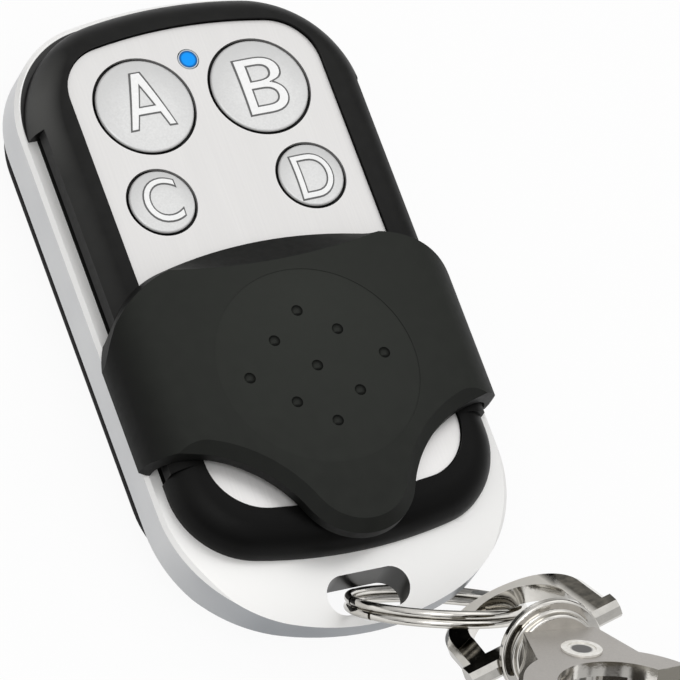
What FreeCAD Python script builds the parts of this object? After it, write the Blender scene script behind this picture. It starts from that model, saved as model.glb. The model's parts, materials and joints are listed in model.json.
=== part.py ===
# Garage door remote: a key-ring transmitter with a sliding cover, a split ring and a swivel snap hook.
# Millimetres. The origin is the centre of the flat back, +Y runs to the light and +Z out of the face.
import FreeCAD, Part
import os
from collections import namedtuple
from math import asin, cos, pi, radians, sin, sqrt, tan

V = FreeCAD.Vector

# A plan outline: straight sides, round corners and bowed ends, all tangent.
Plan = namedtuple("Plan", "half_width top top_arc top_corner bottom bottom_arc bottom_corner")

# Plans of the main mouldings
FRAME_PLAN = Plan(16.25, 29.85, 45.0, 9.7, -30.0, 24.0, 12.5)
BEZEL_PLAN = Plan(15.05, 29.1, 44.0, 9.8, -23.8, 45.0, 7.2)
PLATE_PLAN = Plan(12.0, 26.05, 46.0, 4.6, -20.0, 60.0, 5.0)
REAR_PLAN = Plan(16.0, 28.6, 45.0, 8.9, -23.5, 60.0, 9.0)

# Heights above the flat back
REAR_TOP = 3.3
FRAME_TOP = 7.2
BEZEL_TOP = 10.4
PLATE_TOP = 10.0
BUTTON_TOP = 10.45
COVER_TOP = 12.65

# Walls and clearances
WALL = 1.2
PLATE_THICK = 0.4
WEB_THICK = 0.8
COVER_WALL = 0.9
FIT_GAP = 0.1
LOOSE_GAP = 0.25

# Chrome frame
FRAME_EDGE = 0.35
LEDGE_WIDTH = 1.6
LEDGE_THICK = 1.0
CHIN_START = -22.6
CHIN_FALL_START = -22.0
CHIN_FALL = 1.4
CHIN_RISE = 0.7
SLOT_HALF_LENGTH = 3.9
SLOT_HALF_WIDTH = 1.7
SLOT_CENTRE = -27.25

# Front bezel
BEZEL_ROUND = 2.8
NOTCH_AT = 19.0
SHOULDER_WIDTH = 0.7
SHOULDER_ROUND = 3.0
RAIL_DEPTH = 0.1
GROOVE_HEIGHT = 0.7
GROOVE_DEPTH = 0.5
GROOVE_LIFT = 0.05
GROOVE_END = -14.5

# Rear cover
REAR_ROUND = 2.5
BOSS_RADIUS = 1.6
SCREW_PLACES = ((-11.7, 13.2), (11.7, 13.2), (-10.8, -14.0))
SCREW_RADIUS = 0.7
SCREW_HEAD_RADIUS = 1.4
SCREW_HEAD_SINK = 1.9
SCREW_HEAD_THICK = 1.0
SCREW_CROSS_HALF = 0.9
SCREW_CROSS_WIDTH = 0.4
SCREW_CROSS_DEPTH = 0.4
SCREW_TIP = 8.0
CRADLE_THICK = 0.9
CRADLE_SHORT = 2.0

# Buttons: name, centre, cap radius
BUTTONS = (
    ("a", -5.51, 19.2, 4.45),
    ("b", 5.51, 19.2, 4.45),
    ("c", -7.14, 10.05, 2.97),
    ("d", 7.14, 10.05, 2.97),
)
BUTTON_GAP = 0.27
BUTTON_EDGE = 0.22
BUTTON_CROWN = 0.28
FLANGE_STEP = 0.5
FLANGE_THICK = 0.75
FLANGE_DROP = 0.2
BUTTON_FOOT = 8.1

# Light
LIGHT_Y = 22.9
LIGHT_RADIUS = 0.9
LIGHT_RIM = 0.5

# Circuit board and what is on it
BOARD_BOTTOM = 5.0
BOARD_THICK = 1.0
BOARD_WIDTH_GAP = 0.3
BAY_WALL_X = 2.0
SWITCH_SIDE = 4.5
SWITCH_HEIGHT = 1.6
PLUNGER_RADIUS = 1.1
PLUNGER_SINK = 0.6

LED_HEIGHT = 0.6
ENCODER_PLACE = (-7.0, -3.0)
ENCODER_LENGTH = 8.7
ENCODER_WIDTH = 3.9
ENCODER_HEIGHT = 1.5
ENCODER_LEGS = 7
ENCODER_PITCH = 1.27
LEG_REACH = 1.0
LEG_WIDTH = 0.4
LEG_THICK = 0.3
RESONATOR_PLACE = (-5.6, -13.5)
RESONATOR_RADIUS = 2.6
RESONATOR_HEIGHT = 2.0
RESONATOR_RIM = 0.45
TRIMMER_PLACE = (-0.4, 3.8)
TRIMMER_BASE = (3.2, 4.0, 0.6)
TRIMMER_RADIUS = 1.4
TRIMMER_HEIGHT = 1.2
TRIMMER_SLOT_WIDTH = 0.4
TRIMMER_SLOT_DEPTH = 0.35
TRANSISTOR_PLACE = (-0.8, -1.0)
TRANSISTOR_SIZE = (2.9, 1.3, 1.0)
CAPACITOR_SIZE = (1.6, 0.8, 0.8)
RESISTOR_SIZE = (1.6, 0.8, 0.5)
LED_SIDE = 1.6
CAPACITOR_PLACES = ((-11.6, 4.5), (-11.6, 1.5), (-11.6, -1.5), (-0.4, -5.0), (-0.4, -8.0), (-3.6, -18.0))
RESISTOR_PLACES = ((-11.6, -4.5), (-11.6, -7.0), (-7.0, 3.9), (-5.0, 3.9), (-0.4, -11.0), (-0.4, -14.0),
                   (0.0, 13.5), (0.0, 17.0))

# Battery: a 12 V cell, 8 mm class
CELL_RADIUS = 3.85
CELL_X = 6.6
CELL_Z = 5.15
CELL_BOTTOM = -20.3
CELL_LENGTH = 27.4
NUB_RADIUS = 1.6
NUB_HEIGHT = 0.8
CELL_EDGE = 0.4
CONTACT_THICK = 0.3
CONTACT_FOOT_WIDTH = 1.8
CONTACT_FOOT_REACH = 1.4
CONTACT_HALF_WIDTH = 2.0
CONTACT_BACK = -21.45

# Sliding cover
COVER_HALF_WIDTH = BEZEL_PLAN.half_width + SHOULDER_WIDTH + FIT_GAP + COVER_WALL
COVER_ROUND = 4.9
COVER_FOOT = 7.3
COVER_FRONT_FOOT = 4.5
COVER_FRONT_TOP = 2.6
COVER_FRONT_FALL = 1.9
COVER_FRONT_SIDE = (10.0, 3.3)
COVER_FRONT_KNEE = (14.2, 1.1)
COVER_TOP_KNEE = (13.9, 0.7)
COVER_TOP_BOW = -0.85
COVER_FRONT_LIP = -3.3
COVER_REAR_START = 16.2
COVER_REAR_SLOPE = 14.0
COVER_BEVEL = 1.0
TONGUE_CENTRE = -18.65
TONGUE_RADIUS = 4.5
SCOOP_CENTRE = (15.9, -25.6)
COVER_FRONT_WALL = 1.5
BEZEL_CLEARANCE = 0.35
DIMPLE_RADIUS = 0.55
DIMPLE_DEPTH = 0.35
DIMPLE_CENTRE = -8.55
DIMPLES = ((0, 0), (0, 5.3), (0, -5.3), (3.0, 2.95), (3.0, -2.95), (-3.0, 2.95), (-3.0, -2.95),
           (6.4, 0), (-6.4, 0))
DISC_RADIUS = 9.2
DISC_DEPTH = 0.04
RUNNER_TIP_GAP = 0.15
RUNNER_HEIGHT = 0.5
RUNNER_LENGTH = 8.5

# Split ring, by the point of its wire in the chin slot and its own axes
RING_RADIUS = 7.4
RING_WIRE = 0.4
RING_COIL_PITCH = 0.76
RING_SPLIT = 0.3
RING_SPLIT_AT = 200.0
RING_SPLIT_APART = 24.0
RING_IN_SLOT = V(-1.4, SLOT_CENTRE, 5.05)
RING_ALONG = V(0.8796, -0.3841, 0.2808)
RING_NORMAL = V(0.1775, 0.8124, 0.5554)

# Snap hook: where its loop hangs on the ring, the way to the hook's tip, its face and the loop's bar
LOOP_ON_RING = 36.4
LOOP_REACH = 7.57
LOOP_SHIFT = 0.65
CLASP_ALONG = V(-0.065, -0.731, 0.679)
CLASP_FACE = V(0.0994, 0.6701, 0.7337)
LOOP_BAR = V(0.9456, 0.1654, 0.2732)

# Its eye loop
LOOP_HALF_WIDTH = 6.9
LOOP_HEIGHT = 10.2
LOOP_SECTION = 2.2
LOOP_DEPTH = 1.7
LOOP_APEX = 1.5
LOOP_BEVEL = 0.45
LOOP_BACK = 1.5
# Parts of the loop's half width and height at the points of its outline
LOOP_LEAN = 0.95
LOOP_HIP = 0.45
LOOP_SHOULDER = (0.79, 0.77)
LOOP_BROW = (0.3, 0.975)
BAR_END = 0.2
HUB_WALL = 0.7

# Its collar, hook, rivet, post and gate
COLLAR_RADIUS = 4.6
COLLAR_THICK = 0.9
STEP_RADIUS = 3.6
STEP_THICK = 0.8
POST_RADIUS = 1.2
POST_HEAD_RADIUS = 2.2
POST_HEAD_THICK = 0.9
HOOK_THICK = 4.6
NECK_HALF_WIDTH = 3.3
NECK_FLARE = 13.0
RIVET_AT = 4.4
RIVET_RADIUS = 1.0
RIVET_HEAD_RADIUS = 1.75
RIVET_HEAD_PROUD = 0.16
RIVET_RIM = 0.5
HOOK_BORE = 5.4
HOOK_OUTER = 8.2
HOOK_BORE_AT = 12.5
GATE_THICK = 1.8
GATE_PIVOT_RADIUS = 2.2
GATE_INNER = 5.9
GATE_LOW = -2.5
GATE_HIGH = 5.1
GATE_LOW_FALL = 0.22
GATE_HIGH_FALL = 0.8
GATE_STAND_OFF = 3.0
GATE_ROOT = 3.0
# Corners of the web between the gate's eye and its bar, from the centre of the opening
GATE_LINK = ((-0.6, -10.2), (-5.6, -5.6), (-4.6, -3.9), (-1.2, -6.5))
TAB_AT = -2.25
TAB_REACH = 1.5
TAB_HALF_HEIGHT = 1.3
TAB_SINK = 0.6


def outline_end(plan, which):
    """The tangent points of one end: at the side, in the corner and at the bowed end."""
    if which > 0:
        reach, bow, corner = plan.top, plan.top_arc, plan.top_corner
    else:
        reach, bow, corner = -plan.bottom, plan.bottom_arc, plan.bottom_corner
    across = plan.half_width - corner
    bow_centre = reach - bow
    rise = sqrt((bow - corner) ** 2 - across ** 2)
    corner_y = bow_centre + rise
    ux = across / (bow - corner)
    uy = rise / (bow - corner)
    lean = asin(ux)
    mid = (pi / 2 + lean) / 2
    side = (plan.half_width, which * corner_y)
    knee = (across + corner * sin(mid), which * (corner_y + corner * cos(mid)))
    end = (bow * ux, which * (bow_centre + bow * uy))
    tip = (0.0, which * reach)
    return side, knee, end, tip


def plan_wire(plan, z):
    """Closed wire of a plan at height z."""
    def at(point, mirror=1):
        return V(mirror * point[0], point[1], z)
    side_t, knee_t, end_t, tip_t = outline_end(plan, 1)
    side_b, knee_b, end_b, tip_b = outline_end(plan, -1)
    edges = [
        Part.LineSegment(at(side_b), at(side_t)),
        Part.Arc(at(side_t), at(knee_t), at(end_t)),
        Part.Arc(at(end_t), at(tip_t), at(end_t, -1)),
        Part.Arc(at(end_t, -1), at(knee_t, -1), at(side_t, -1)),
        Part.LineSegment(at(side_t, -1), at(side_b, -1)),
        Part.Arc(at(side_b, -1), at(knee_b, -1), at(end_b, -1)),
        Part.Arc(at(end_b, -1), at(tip_b), at(end_b)),
        Part.Arc(at(end_b), at(knee_b), at(side_b)),
    ]
    return Part.Wire([edge.toShape() for edge in edges])


def inset(plan, by):
    """The parallel plan, smaller all round by the given amount."""
    return Plan(plan.half_width - by, plan.top - by, plan.top_arc - by, plan.top_corner - by,
                plan.bottom + by, plan.bottom_arc - by, plan.bottom_corner - by)


def slab(plan, low, high):
    """The plan as a solid between two heights."""
    return Part.Face(plan_wire(plan, low)).extrude(V(0, 0, high - low))


def block(x0, x1, y0, y1, z0, z1):
    return Part.makeBox(x1 - x0, y1 - y0, z1 - z0, V(x0, y0, z0))


def post(x, y, low, high, radius):
    return Part.makeCylinder(radius, high - low, V(x, y, low), V(0, 0, 1))


def polygon(points):
    """Closed wire through the points."""
    return Part.makePolygon(list(points) + [points[0]])


def edges_at_height(shape, z):
    """The edges that lie flat at one height."""
    return [e for e in shape.Edges
            if abs(e.BoundBox.ZMin - z) < 1e-4 and abs(e.BoundBox.ZMax - z) < 1e-4]


def fuse_all(shapes):
    first, rest = shapes[0], shapes[1:]
    return first.fuse(rest).removeSplitter() if rest else first


def chrome_frame():
    """A band round the whole remote, whose chin carries the key slot."""
    body = slab(FRAME_PLAN, REAR_TOP, FRAME_TOP)
    body = body.makeChamfer(FRAME_EDGE, edges_at_height(body, FRAME_TOP))
    fall_run = CHIN_FALL_START - FRAME_PLAN.bottom
    fall_radius = (fall_run ** 2 + CHIN_FALL ** 2) / (2 * CHIN_FALL)
    reach = FRAME_PLAN.half_width + WALL
    roll = Part.makeCylinder(fall_radius, 2 * reach, V(-reach, CHIN_FALL_START, FRAME_TOP - fall_radius),
                             V(1, 0, 0))
    chin_zone = block(-reach, reach, FRAME_PLAN.bottom - WALL, CHIN_FALL_START, REAR_TOP - WALL,
                      FRAME_TOP + WALL)
    body = body.cut(chin_zone.cut(roll))
    keel = Part.Face(polygon([
        V(-reach, REAR_PLAN.bottom - FIT_GAP, REAR_TOP - WALL),
        V(-reach, REAR_PLAN.bottom - FIT_GAP, REAR_TOP),
        V(-reach, FRAME_PLAN.bottom, REAR_TOP + CHIN_RISE),
        V(-reach, FRAME_PLAN.bottom - WALL, REAR_TOP + CHIN_RISE),
        V(-reach, FRAME_PLAN.bottom - WALL, REAR_TOP - WALL),
    ])).extrude(V(2 * reach, 0, 0))
    body = body.cut(keel)
    room = Plan(FRAME_PLAN.half_width - WALL, FRAME_PLAN.top - WALL, FRAME_PLAN.top_arc - WALL,
                FRAME_PLAN.top_corner - WALL, CHIN_START, REAR_PLAN.bottom_arc, REAR_PLAN.bottom_corner)
    body = body.cut(slab(room, REAR_TOP - WALL, FRAME_TOP - LEDGE_THICK))
    mouth = inset(room, LEDGE_WIDTH)
    body = body.cut(slab(mouth, REAR_TOP - WALL, FRAME_TOP + WALL))
    cell_side = CELL_RADIUS + LOOSE_GAP
    body = body.cut(block(CELL_X - cell_side, CELL_X + cell_side, CHIN_START, CELL_BOTTOM + CELL_RADIUS,
                          REAR_TOP - WALL, FRAME_TOP + WALL))
    straight = SLOT_HALF_LENGTH - SLOT_HALF_WIDTH
    slot = fuse_all([
        block(-straight, straight, SLOT_CENTRE - SLOT_HALF_WIDTH, SLOT_CENTRE + SLOT_HALF_WIDTH,
              0, FRAME_TOP + WALL),
        post(-straight, SLOT_CENTRE, 0, FRAME_TOP + WALL, SLOT_HALF_WIDTH),
        post(straight, SLOT_CENTRE, 0, FRAME_TOP + WALL, SLOT_HALF_WIDTH),
    ])
    return body.cut(slot)


def button_hole(radius):
    return radius + BUTTON_GAP


def web_hole(radius):
    return radius + FLANGE_STEP + LOOSE_GAP


def front_bezel():
    """Black front shell: rounded rim, recess and web for the plate, side rails with a groove, screw posts."""
    rim = slab(BEZEL_PLAN, FRAME_TOP, BEZEL_TOP)
    rim = rim.makeFillet(BEZEL_ROUND, edges_at_height(rim, BEZEL_TOP))
    broad = BEZEL_PLAN._replace(half_width=BEZEL_PLAN.half_width + SHOULDER_WIDTH,
                                top_corner=BEZEL_PLAN.top_corner + SHOULDER_WIDTH / 2)
    shoulder = slab(broad, FRAME_TOP, BEZEL_TOP)
    shoulder = shoulder.makeFillet(SHOULDER_ROUND, edges_at_height(shoulder, BEZEL_TOP))
    reach = broad.half_width + WALL
    foot_zone = block(-reach, reach, BEZEL_PLAN.bottom - WALL, GROOVE_END, FRAME_TOP, BEZEL_TOP)
    body = rim.common(foot_zone).fuse(shoulder.cut(foot_zone)).removeSplitter()
    recess = inset(PLATE_PLAN, -FIT_GAP)
    web_top = PLATE_TOP - PLATE_THICK
    body = body.cut(slab(recess, web_top, BEZEL_TOP + WALL))
    body = body.cut(slab(inset(recess, WALL / 2), FRAME_TOP - WALL, web_top - WEB_THICK))
    room = Part.makeCylinder(CELL_RADIUS + LOOSE_GAP, CELL_LENGTH + 2 * WALL,
                             V(CELL_X, CELL_BOTTOM - WALL, CELL_Z), V(0, 1, 0))
    body = body.cut(room)
    groove_low = FRAME_TOP + GROOVE_LIFT
    rail = BEZEL_PLAN.half_width - RAIL_DEPTH
    for way in (-1, 1):
        for wall, low, high in ((rail, FRAME_TOP, BEZEL_TOP),
                                (rail - GROOVE_DEPTH, groove_low, groove_low + GROOVE_HEIGHT)):
            inner, outer = sorted((way * wall, way * reach))
            body = body.cut(block(inner, outer, GROOVE_END, NOTCH_AT, low, high))
    for name, x, y, radius in BUTTONS:
        body = body.cut(post(x, y, 0, BEZEL_TOP, web_hole(radius)))
    body = body.cut(post(0, LIGHT_Y, 0, BEZEL_TOP, LIGHT_RADIUS + FIT_GAP))
    board_top = BOARD_BOTTOM + BOARD_THICK
    for x, y in SCREW_PLACES:
        boss = post(x, y, board_top, web_top - WEB_THICK / 2, BOSS_RADIUS)
        body = body.fuse(boss.common(slab(inset(BEZEL_PLAN, WALL), 0, BEZEL_TOP)))
        body = body.cut(post(x, y, 0, SCREW_TIP + FIT_GAP, SCREW_RADIUS))
    return body.removeSplitter()


def face_plate():
    """Brushed plate with the four button holes and the light's hole."""
    plate = slab(PLATE_PLAN, PLATE_TOP - PLATE_THICK, PLATE_TOP)
    for name, x, y, radius in BUTTONS:
        plate = plate.cut(post(x, y, 0, BEZEL_TOP, button_hole(radius)))
    return plate.cut(post(0, LIGHT_Y, 0, BEZEL_TOP, LIGHT_RADIUS + FIT_GAP))


def button(x, y, radius):
    """Crowned key cap with a flange that the plate holds in."""
    flat = radius - BUTTON_EDGE
    rim = BUTTON_TOP - BUTTON_CROWN
    dome = (flat ** 2 + BUTTON_CROWN ** 2) / (2 * BUTTON_CROWN)
    half_turn = asin(flat / dome) / 2
    bend = BUTTON_EDGE * cos(pi / 4)

    def at(out, z):
        return V(x + out, y, z)
    profile = Part.Wire([
        Part.LineSegment(at(0, BUTTON_TOP), at(0, BUTTON_FOOT)).toShape(),
        Part.LineSegment(at(0, BUTTON_FOOT), at(radius, BUTTON_FOOT)).toShape(),
        Part.LineSegment(at(radius, BUTTON_FOOT), at(radius, rim - BUTTON_EDGE)).toShape(),
        Part.Arc(at(radius, rim - BUTTON_EDGE), at(flat + bend, rim - BUTTON_EDGE + bend),
                 at(flat, rim)).toShape(),
        Part.Arc(at(flat, rim), at(dome * sin(half_turn), BUTTON_TOP - dome * (1 - cos(half_turn))),
                 at(0, BUTTON_TOP)).toShape(),
    ])
    cap = Part.Face(profile).revolve(V(x, y, 0), V(0, 0, 1), 360)
    flange_top = PLATE_TOP - PLATE_THICK - FLANGE_DROP
    return fuse_all([cap, post(x, y, flange_top - FLANGE_THICK, flange_top, radius + FLANGE_STEP)])


def rear_cover():
    """Black back shell with the screw bosses and the cell's cradle."""
    body = slab(REAR_PLAN, 0, REAR_TOP)
    body = body.makeFillet(REAR_ROUND, edges_at_height(body, 0))
    body = body.cut(slab(inset(REAR_PLAN, WALL), WALL, REAR_TOP + WALL))
    for x, y in SCREW_PLACES:
        body = body.fuse(post(x, y, WALL / 2, BOARD_BOTTOM, BOSS_RADIUS))
    body = body.fuse(block(BAY_WALL_X - CRADLE_THICK, BAY_WALL_X, CELL_BOTTOM + CRADLE_SHORT,
                           CELL_BOTTOM + CELL_LENGTH - CRADLE_SHORT, WALL / 2, BOARD_BOTTOM - FIT_GAP))
    for x, y in SCREW_PLACES:
        body = body.cut(post(x, y, -WALL, BOARD_BOTTOM + WALL, SCREW_RADIUS + FIT_GAP))
        body = body.cut(post(x, y, -WALL, SCREW_HEAD_SINK, SCREW_HEAD_RADIUS + FIT_GAP))
    return body.removeSplitter()


def rear_screws():
    """Three screws in one node, each with a cross recess in its head."""
    head_low = SCREW_HEAD_SINK - SCREW_HEAD_THICK
    cross_top = head_low + SCREW_CROSS_DEPTH
    half = SCREW_CROSS_WIDTH / 2
    screws = []
    for x, y in SCREW_PLACES:
        screw = fuse_all([post(x, y, head_low, SCREW_HEAD_SINK, SCREW_HEAD_RADIUS),
                          post(x, y, SCREW_HEAD_SINK, SCREW_TIP, SCREW_RADIUS)])
        for dx, dy in ((SCREW_CROSS_HALF, half), (half, SCREW_CROSS_HALF)):
            screw = screw.cut(block(x - dx, x + dx, y - dy, y + dy, 0, cross_top))
        screws.append(screw)
    return Part.makeCompound(screws)


def circuit_board():
    """Board with a bay for the cell, as wide as the frame's room allows."""
    room = inset(REAR_PLAN, WALL + BOARD_WIDTH_GAP)
    board = slab(room, BOARD_BOTTOM, BOARD_BOTTOM + BOARD_THICK)
    bay_top = CELL_BOTTOM + CELL_LENGTH + CONTACT_THICK + LOOSE_GAP
    bay = block(BAY_WALL_X, FRAME_PLAN.half_width, FRAME_PLAN.bottom, bay_top, 0, BEZEL_TOP)
    board = board.cut(bay)
    for x, y in SCREW_PLACES:
        board = board.cut(post(x, y, 0, BEZEL_TOP, SCREW_RADIUS + FIT_GAP))
    return board


def switch_body(x, y):
    """Tactile switch with a well for its plunger and four short legs."""
    low = BOARD_BOTTOM + BOARD_THICK
    half = SWITCH_SIDE / 2
    body = block(x - half, x + half, y - half, y + half, low, low + SWITCH_HEIGHT)
    corners = [e for e in body.Edges if e.BoundBox.ZLength > SWITCH_HEIGHT / 2]
    body = body.makeFillet(LOOSE_GAP, corners)
    return body.cut(post(x, y, low + SWITCH_HEIGHT - 2 * PLUNGER_SINK, BEZEL_TOP, PLUNGER_RADIUS + FIT_GAP))


def plunger(x, y):
    low = BOARD_BOTTOM + BOARD_THICK + SWITCH_HEIGHT - PLUNGER_SINK
    return post(x, y, low, BUTTON_FOOT, PLUNGER_RADIUS)


def chip(x, y, length, width, height):
    """A moulded package on the board, its long side along Y."""
    low = BOARD_BOTTOM + BOARD_THICK
    return block(x - width / 2, x + width / 2, y - length / 2, y + length / 2, low, low + height)


def encoder_chip():
    """Package with a row of gull-wing legs along each long side."""
    x, y = ENCODER_PLACE
    body = chip(x, y, ENCODER_LENGTH, ENCODER_WIDTH, ENCODER_HEIGHT)
    body = body.makeChamfer(LOOSE_GAP, edges_at_height(body, BOARD_BOTTOM + BOARD_THICK + ENCODER_HEIGHT))
    legs = []
    for row in range(ENCODER_LEGS):
        leg_y = y + (row - (ENCODER_LEGS - 1) / 2) * ENCODER_PITCH
        legs.append(chip(x, leg_y, LEG_WIDTH, ENCODER_WIDTH + 2 * LEG_REACH, LEG_THICK))
    return fuse_all([body] + legs)


def resonator():
    """Round metal can on its flange."""
    x, y = RESONATOR_PLACE
    low = BOARD_BOTTOM + BOARD_THICK
    can = post(x, y, low, low + RESONATOR_HEIGHT, RESONATOR_RADIUS)
    can = can.makeFillet(LOOSE_GAP, edges_at_height(can, low + RESONATOR_HEIGHT))
    return fuse_all([can, post(x, y, low, low + RESONATOR_RIM, RESONATOR_RADIUS + RESONATOR_RIM)])


def trim_capacitor():
    """Round trimmer with its slotted rotor."""
    x, y = TRIMMER_PLACE
    low = BOARD_BOTTOM + BOARD_THICK
    rotor = post(x, y, low, low + TRIMMER_HEIGHT, TRIMMER_RADIUS)
    half = TRIMMER_SLOT_WIDTH / 2
    slot = block(x - TRIMMER_RADIUS, x + TRIMMER_RADIUS, y - half, y + half,
                 low + TRIMMER_HEIGHT - TRIMMER_SLOT_DEPTH, low + TRIMMER_HEIGHT + WALL)
    return fuse_all([chip(x, y, *TRIMMER_BASE), rotor]).cut(slot)


def chip_row(places, size):
    return Part.makeCompound([chip(x, y, *size) for x, y in places])


def cell():
    """The battery's can with its rolled shoulder; the nub is a piece of its own."""
    can_length = CELL_LENGTH - NUB_HEIGHT
    can = Part.makeCylinder(CELL_RADIUS, can_length, V(CELL_X, CELL_BOTTOM, CELL_Z), V(0, 1, 0))
    rims = [e for e in can.Edges if e.BoundBox.YLength < 1e-4]
    return can.makeFillet(CELL_EDGE, rims)


def cell_nub():
    foot = CELL_BOTTOM + CELL_LENGTH - NUB_HEIGHT
    return Part.makeCylinder(NUB_RADIUS, NUB_HEIGHT, V(CELL_X, foot, CELL_Z), V(0, 1, 0))


def plate_contact():
    """Plate at the cell's nub with a foot beside it that turns over the board's edge."""
    near = CELL_BOTTOM + CELL_LENGTH
    board_top = BOARD_BOTTOM + BOARD_THICK
    left = CELL_X - CONTACT_HALF_WIDTH
    plate = block(left, CELL_X + CONTACT_HALF_WIDTH, near, near + CONTACT_THICK, WALL + FIT_GAP,
                  board_top + CONTACT_THICK)
    foot = block(left - CONTACT_FOOT_WIDTH, left + CONTACT_THICK, near, near + CONTACT_FOOT_REACH, board_top,
                 board_top + CONTACT_THICK)
    return fuse_all([plate, foot])


def spring_contact():
    """Upright leaf and a bowed leaf that bears on the cell's flat end."""
    low, high = WALL + FIT_GAP, FRAME_TOP - FIT_GAP
    mid = (low + high) / 2
    front = CONTACT_BACK + CONTACT_THICK
    leaf = block(CELL_X - CONTACT_HALF_WIDTH, CELL_X + CONTACT_HALF_WIDTH, CONTACT_BACK, front, low, high)

    def at(y, z):
        return V(CELL_X, y, z)
    bow = Part.Face(Part.Wire([
        Part.Arc(at(front, low), at(CELL_BOTTOM, mid), at(front, high)).toShape(),
        Part.LineSegment(at(front, high), at(front, high - CONTACT_THICK)).toShape(),
        Part.Arc(at(front, high - CONTACT_THICK), at(CELL_BOTTOM - CONTACT_THICK, mid),
                 at(front, low + CONTACT_THICK)).toShape(),
        Part.LineSegment(at(front, low + CONTACT_THICK), at(front, low)).toShape(),
    ]))
    half = CONTACT_HALF_WIDTH - CONTACT_THICK
    bow.translate(V(-half, 0, 0))
    return fuse_all([leaf, bow.extrude(V(2 * half, 0, 0))])


def led_window():
    """Light pipe from just above the chip to flush with the plate."""
    low = BOARD_BOTTOM + BOARD_THICK + LED_HEIGHT + LOOSE_GAP
    web_low = PLATE_TOP - PLATE_THICK - WEB_THICK
    pipe = post(0, LIGHT_Y, low, PLATE_TOP, LIGHT_RADIUS)
    collar = post(0, LIGHT_Y, web_low - LIGHT_RIM, web_low, LIGHT_RADIUS + LIGHT_RIM)
    return fuse_all([pipe, collar])


def arc_loft(low_edges, high_edges):
    """Ruled solid between two closed wires with like edges."""
    return Part.makeLoft([Part.Wire(low_edges), Part.Wire(high_edges)], True, True)


def cover_front(z, bow, side, knee, far):
    """Closed wire at height z: bowed front, swept corners and a straight far end."""
    lip = (COVER_HALF_WIDTH, COVER_FRONT_LIP)
    broad = COVER_HALF_WIDTH + COVER_WALL

    def at(x, y):
        return V(x, y, z)
    return [
        Part.Arc(at(-side[0], side[1]), at(0, bow), at(*side)).toShape(),
        Part.Arc(at(*side), at(*knee), at(*lip)).toShape(),
        Part.LineSegment(at(*lip), at(broad, lip[1] - 2 * COVER_WALL)).toShape(),
        Part.LineSegment(at(broad, lip[1] - 2 * COVER_WALL), at(broad, far)).toShape(),
        Part.LineSegment(at(broad, far), at(-broad, far)).toShape(),
        Part.LineSegment(at(-broad, far), at(-broad, lip[1] - 2 * COVER_WALL)).toShape(),
        Part.LineSegment(at(-broad, lip[1] - 2 * COVER_WALL), at(-lip[0], lip[1])).toShape(),
        Part.Arc(at(-lip[0], lip[1]), at(-knee[0], knee[1]), at(-side[0], side[1])).toShape(),
    ]


def cover_front_limit(low, back=0.0):
    """All that lies behind the cover's front face, moved back by the given amount."""
    far = TONGUE_CENTRE - 2 * TONGUE_RADIUS
    step = COVER_TOP - COVER_FRONT_FALL
    foot = cover_front(step, COVER_FRONT_FOOT, COVER_FRONT_SIDE, COVER_FRONT_KNEE, far)
    top = cover_front(COVER_TOP, COVER_FRONT_TOP + COVER_TOP_BOW, (COVER_FRONT_SIDE[0], COVER_FRONT_TOP),
                      COVER_TOP_KNEE, far)
    upper = arc_loft(foot, top)
    lower = Part.Face(Part.Wire(foot)).extrude(V(0, 0, low - step))
    limit = upper.fuse(lower)
    limit.translate(V(0, -back, 0))
    return limit


def cover_rear(z, grow):
    """Closed wire at height z: the scooped rear edge and its tongue, grown by the given amount."""
    slope = radians(COVER_REAR_SLOPE)
    far = COVER_FRONT_FOOT + 2 * COVER_WALL
    sx, sy = SCOOP_CENTRE
    span = sqrt(sx ** 2 + (TONGUE_CENTRE - sy) ** 2)
    tongue = TONGUE_RADIUS + grow
    scoop = span - tongue
    ux, uy = sx / span, (sy - TONGUE_CENTRE) / span
    joint = (tongue * ux, TONGUE_CENTRE + tongue * uy)
    scoop_end = (sx - scoop * sin(slope), sy + scoop * cos(slope))
    start_angle = pi / 2 + slope
    end_angle = pi + asin((sy - TONGUE_CENTRE) / span) * -1
    mid_angle = (start_angle + end_angle) / 2
    scoop_mid = (sx + scoop * cos(mid_angle), sy + scoop * sin(mid_angle))
    start = (COVER_REAR_START, scoop_end[1] + tan(slope) * (COVER_REAR_START - scoop_end[0]))
    lip = (COVER_HALF_WIDTH + COVER_WALL, start[1] + COVER_WALL)

    def at(point, way=1):
        return V(way * point[0], point[1], z)
    return [
        Part.LineSegment(at((lip[0], far), -1), at((lip[0], far))).toShape(),
        Part.LineSegment(at((lip[0], far)), at(lip)).toShape(),
        Part.LineSegment(at(lip), at(start)).toShape(),
        Part.LineSegment(at(start), at(scoop_end)).toShape(),
        Part.Arc(at(scoop_end), at(scoop_mid), at(joint)).toShape(),
        Part.Arc(at(joint), at((0, TONGUE_CENTRE - tongue)), at(joint, -1)).toShape(),
        Part.Arc(at(joint, -1), at(scoop_mid, -1), at(scoop_end, -1)).toShape(),
        Part.LineSegment(at(scoop_end, -1), at(start, -1)).toShape(),
        Part.LineSegment(at(start, -1), at(lip, -1)).toShape(),
        Part.LineSegment(at(lip, -1), at((lip[0], far), -1)).toShape(),
    ]


def cover_rear_limit(low, grow=0.0):
    """All that lies before the cover's rear edge; the edge is bevelled over the shell's wall."""
    step = COVER_TOP - COVER_WALL
    foot = cover_rear(step, grow + COVER_BEVEL)
    top = cover_rear(COVER_TOP, grow)
    return arc_loft(foot, top).fuse(Part.Face(Part.Wire(foot)).extrude(V(0, 0, low - step)))


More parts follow.
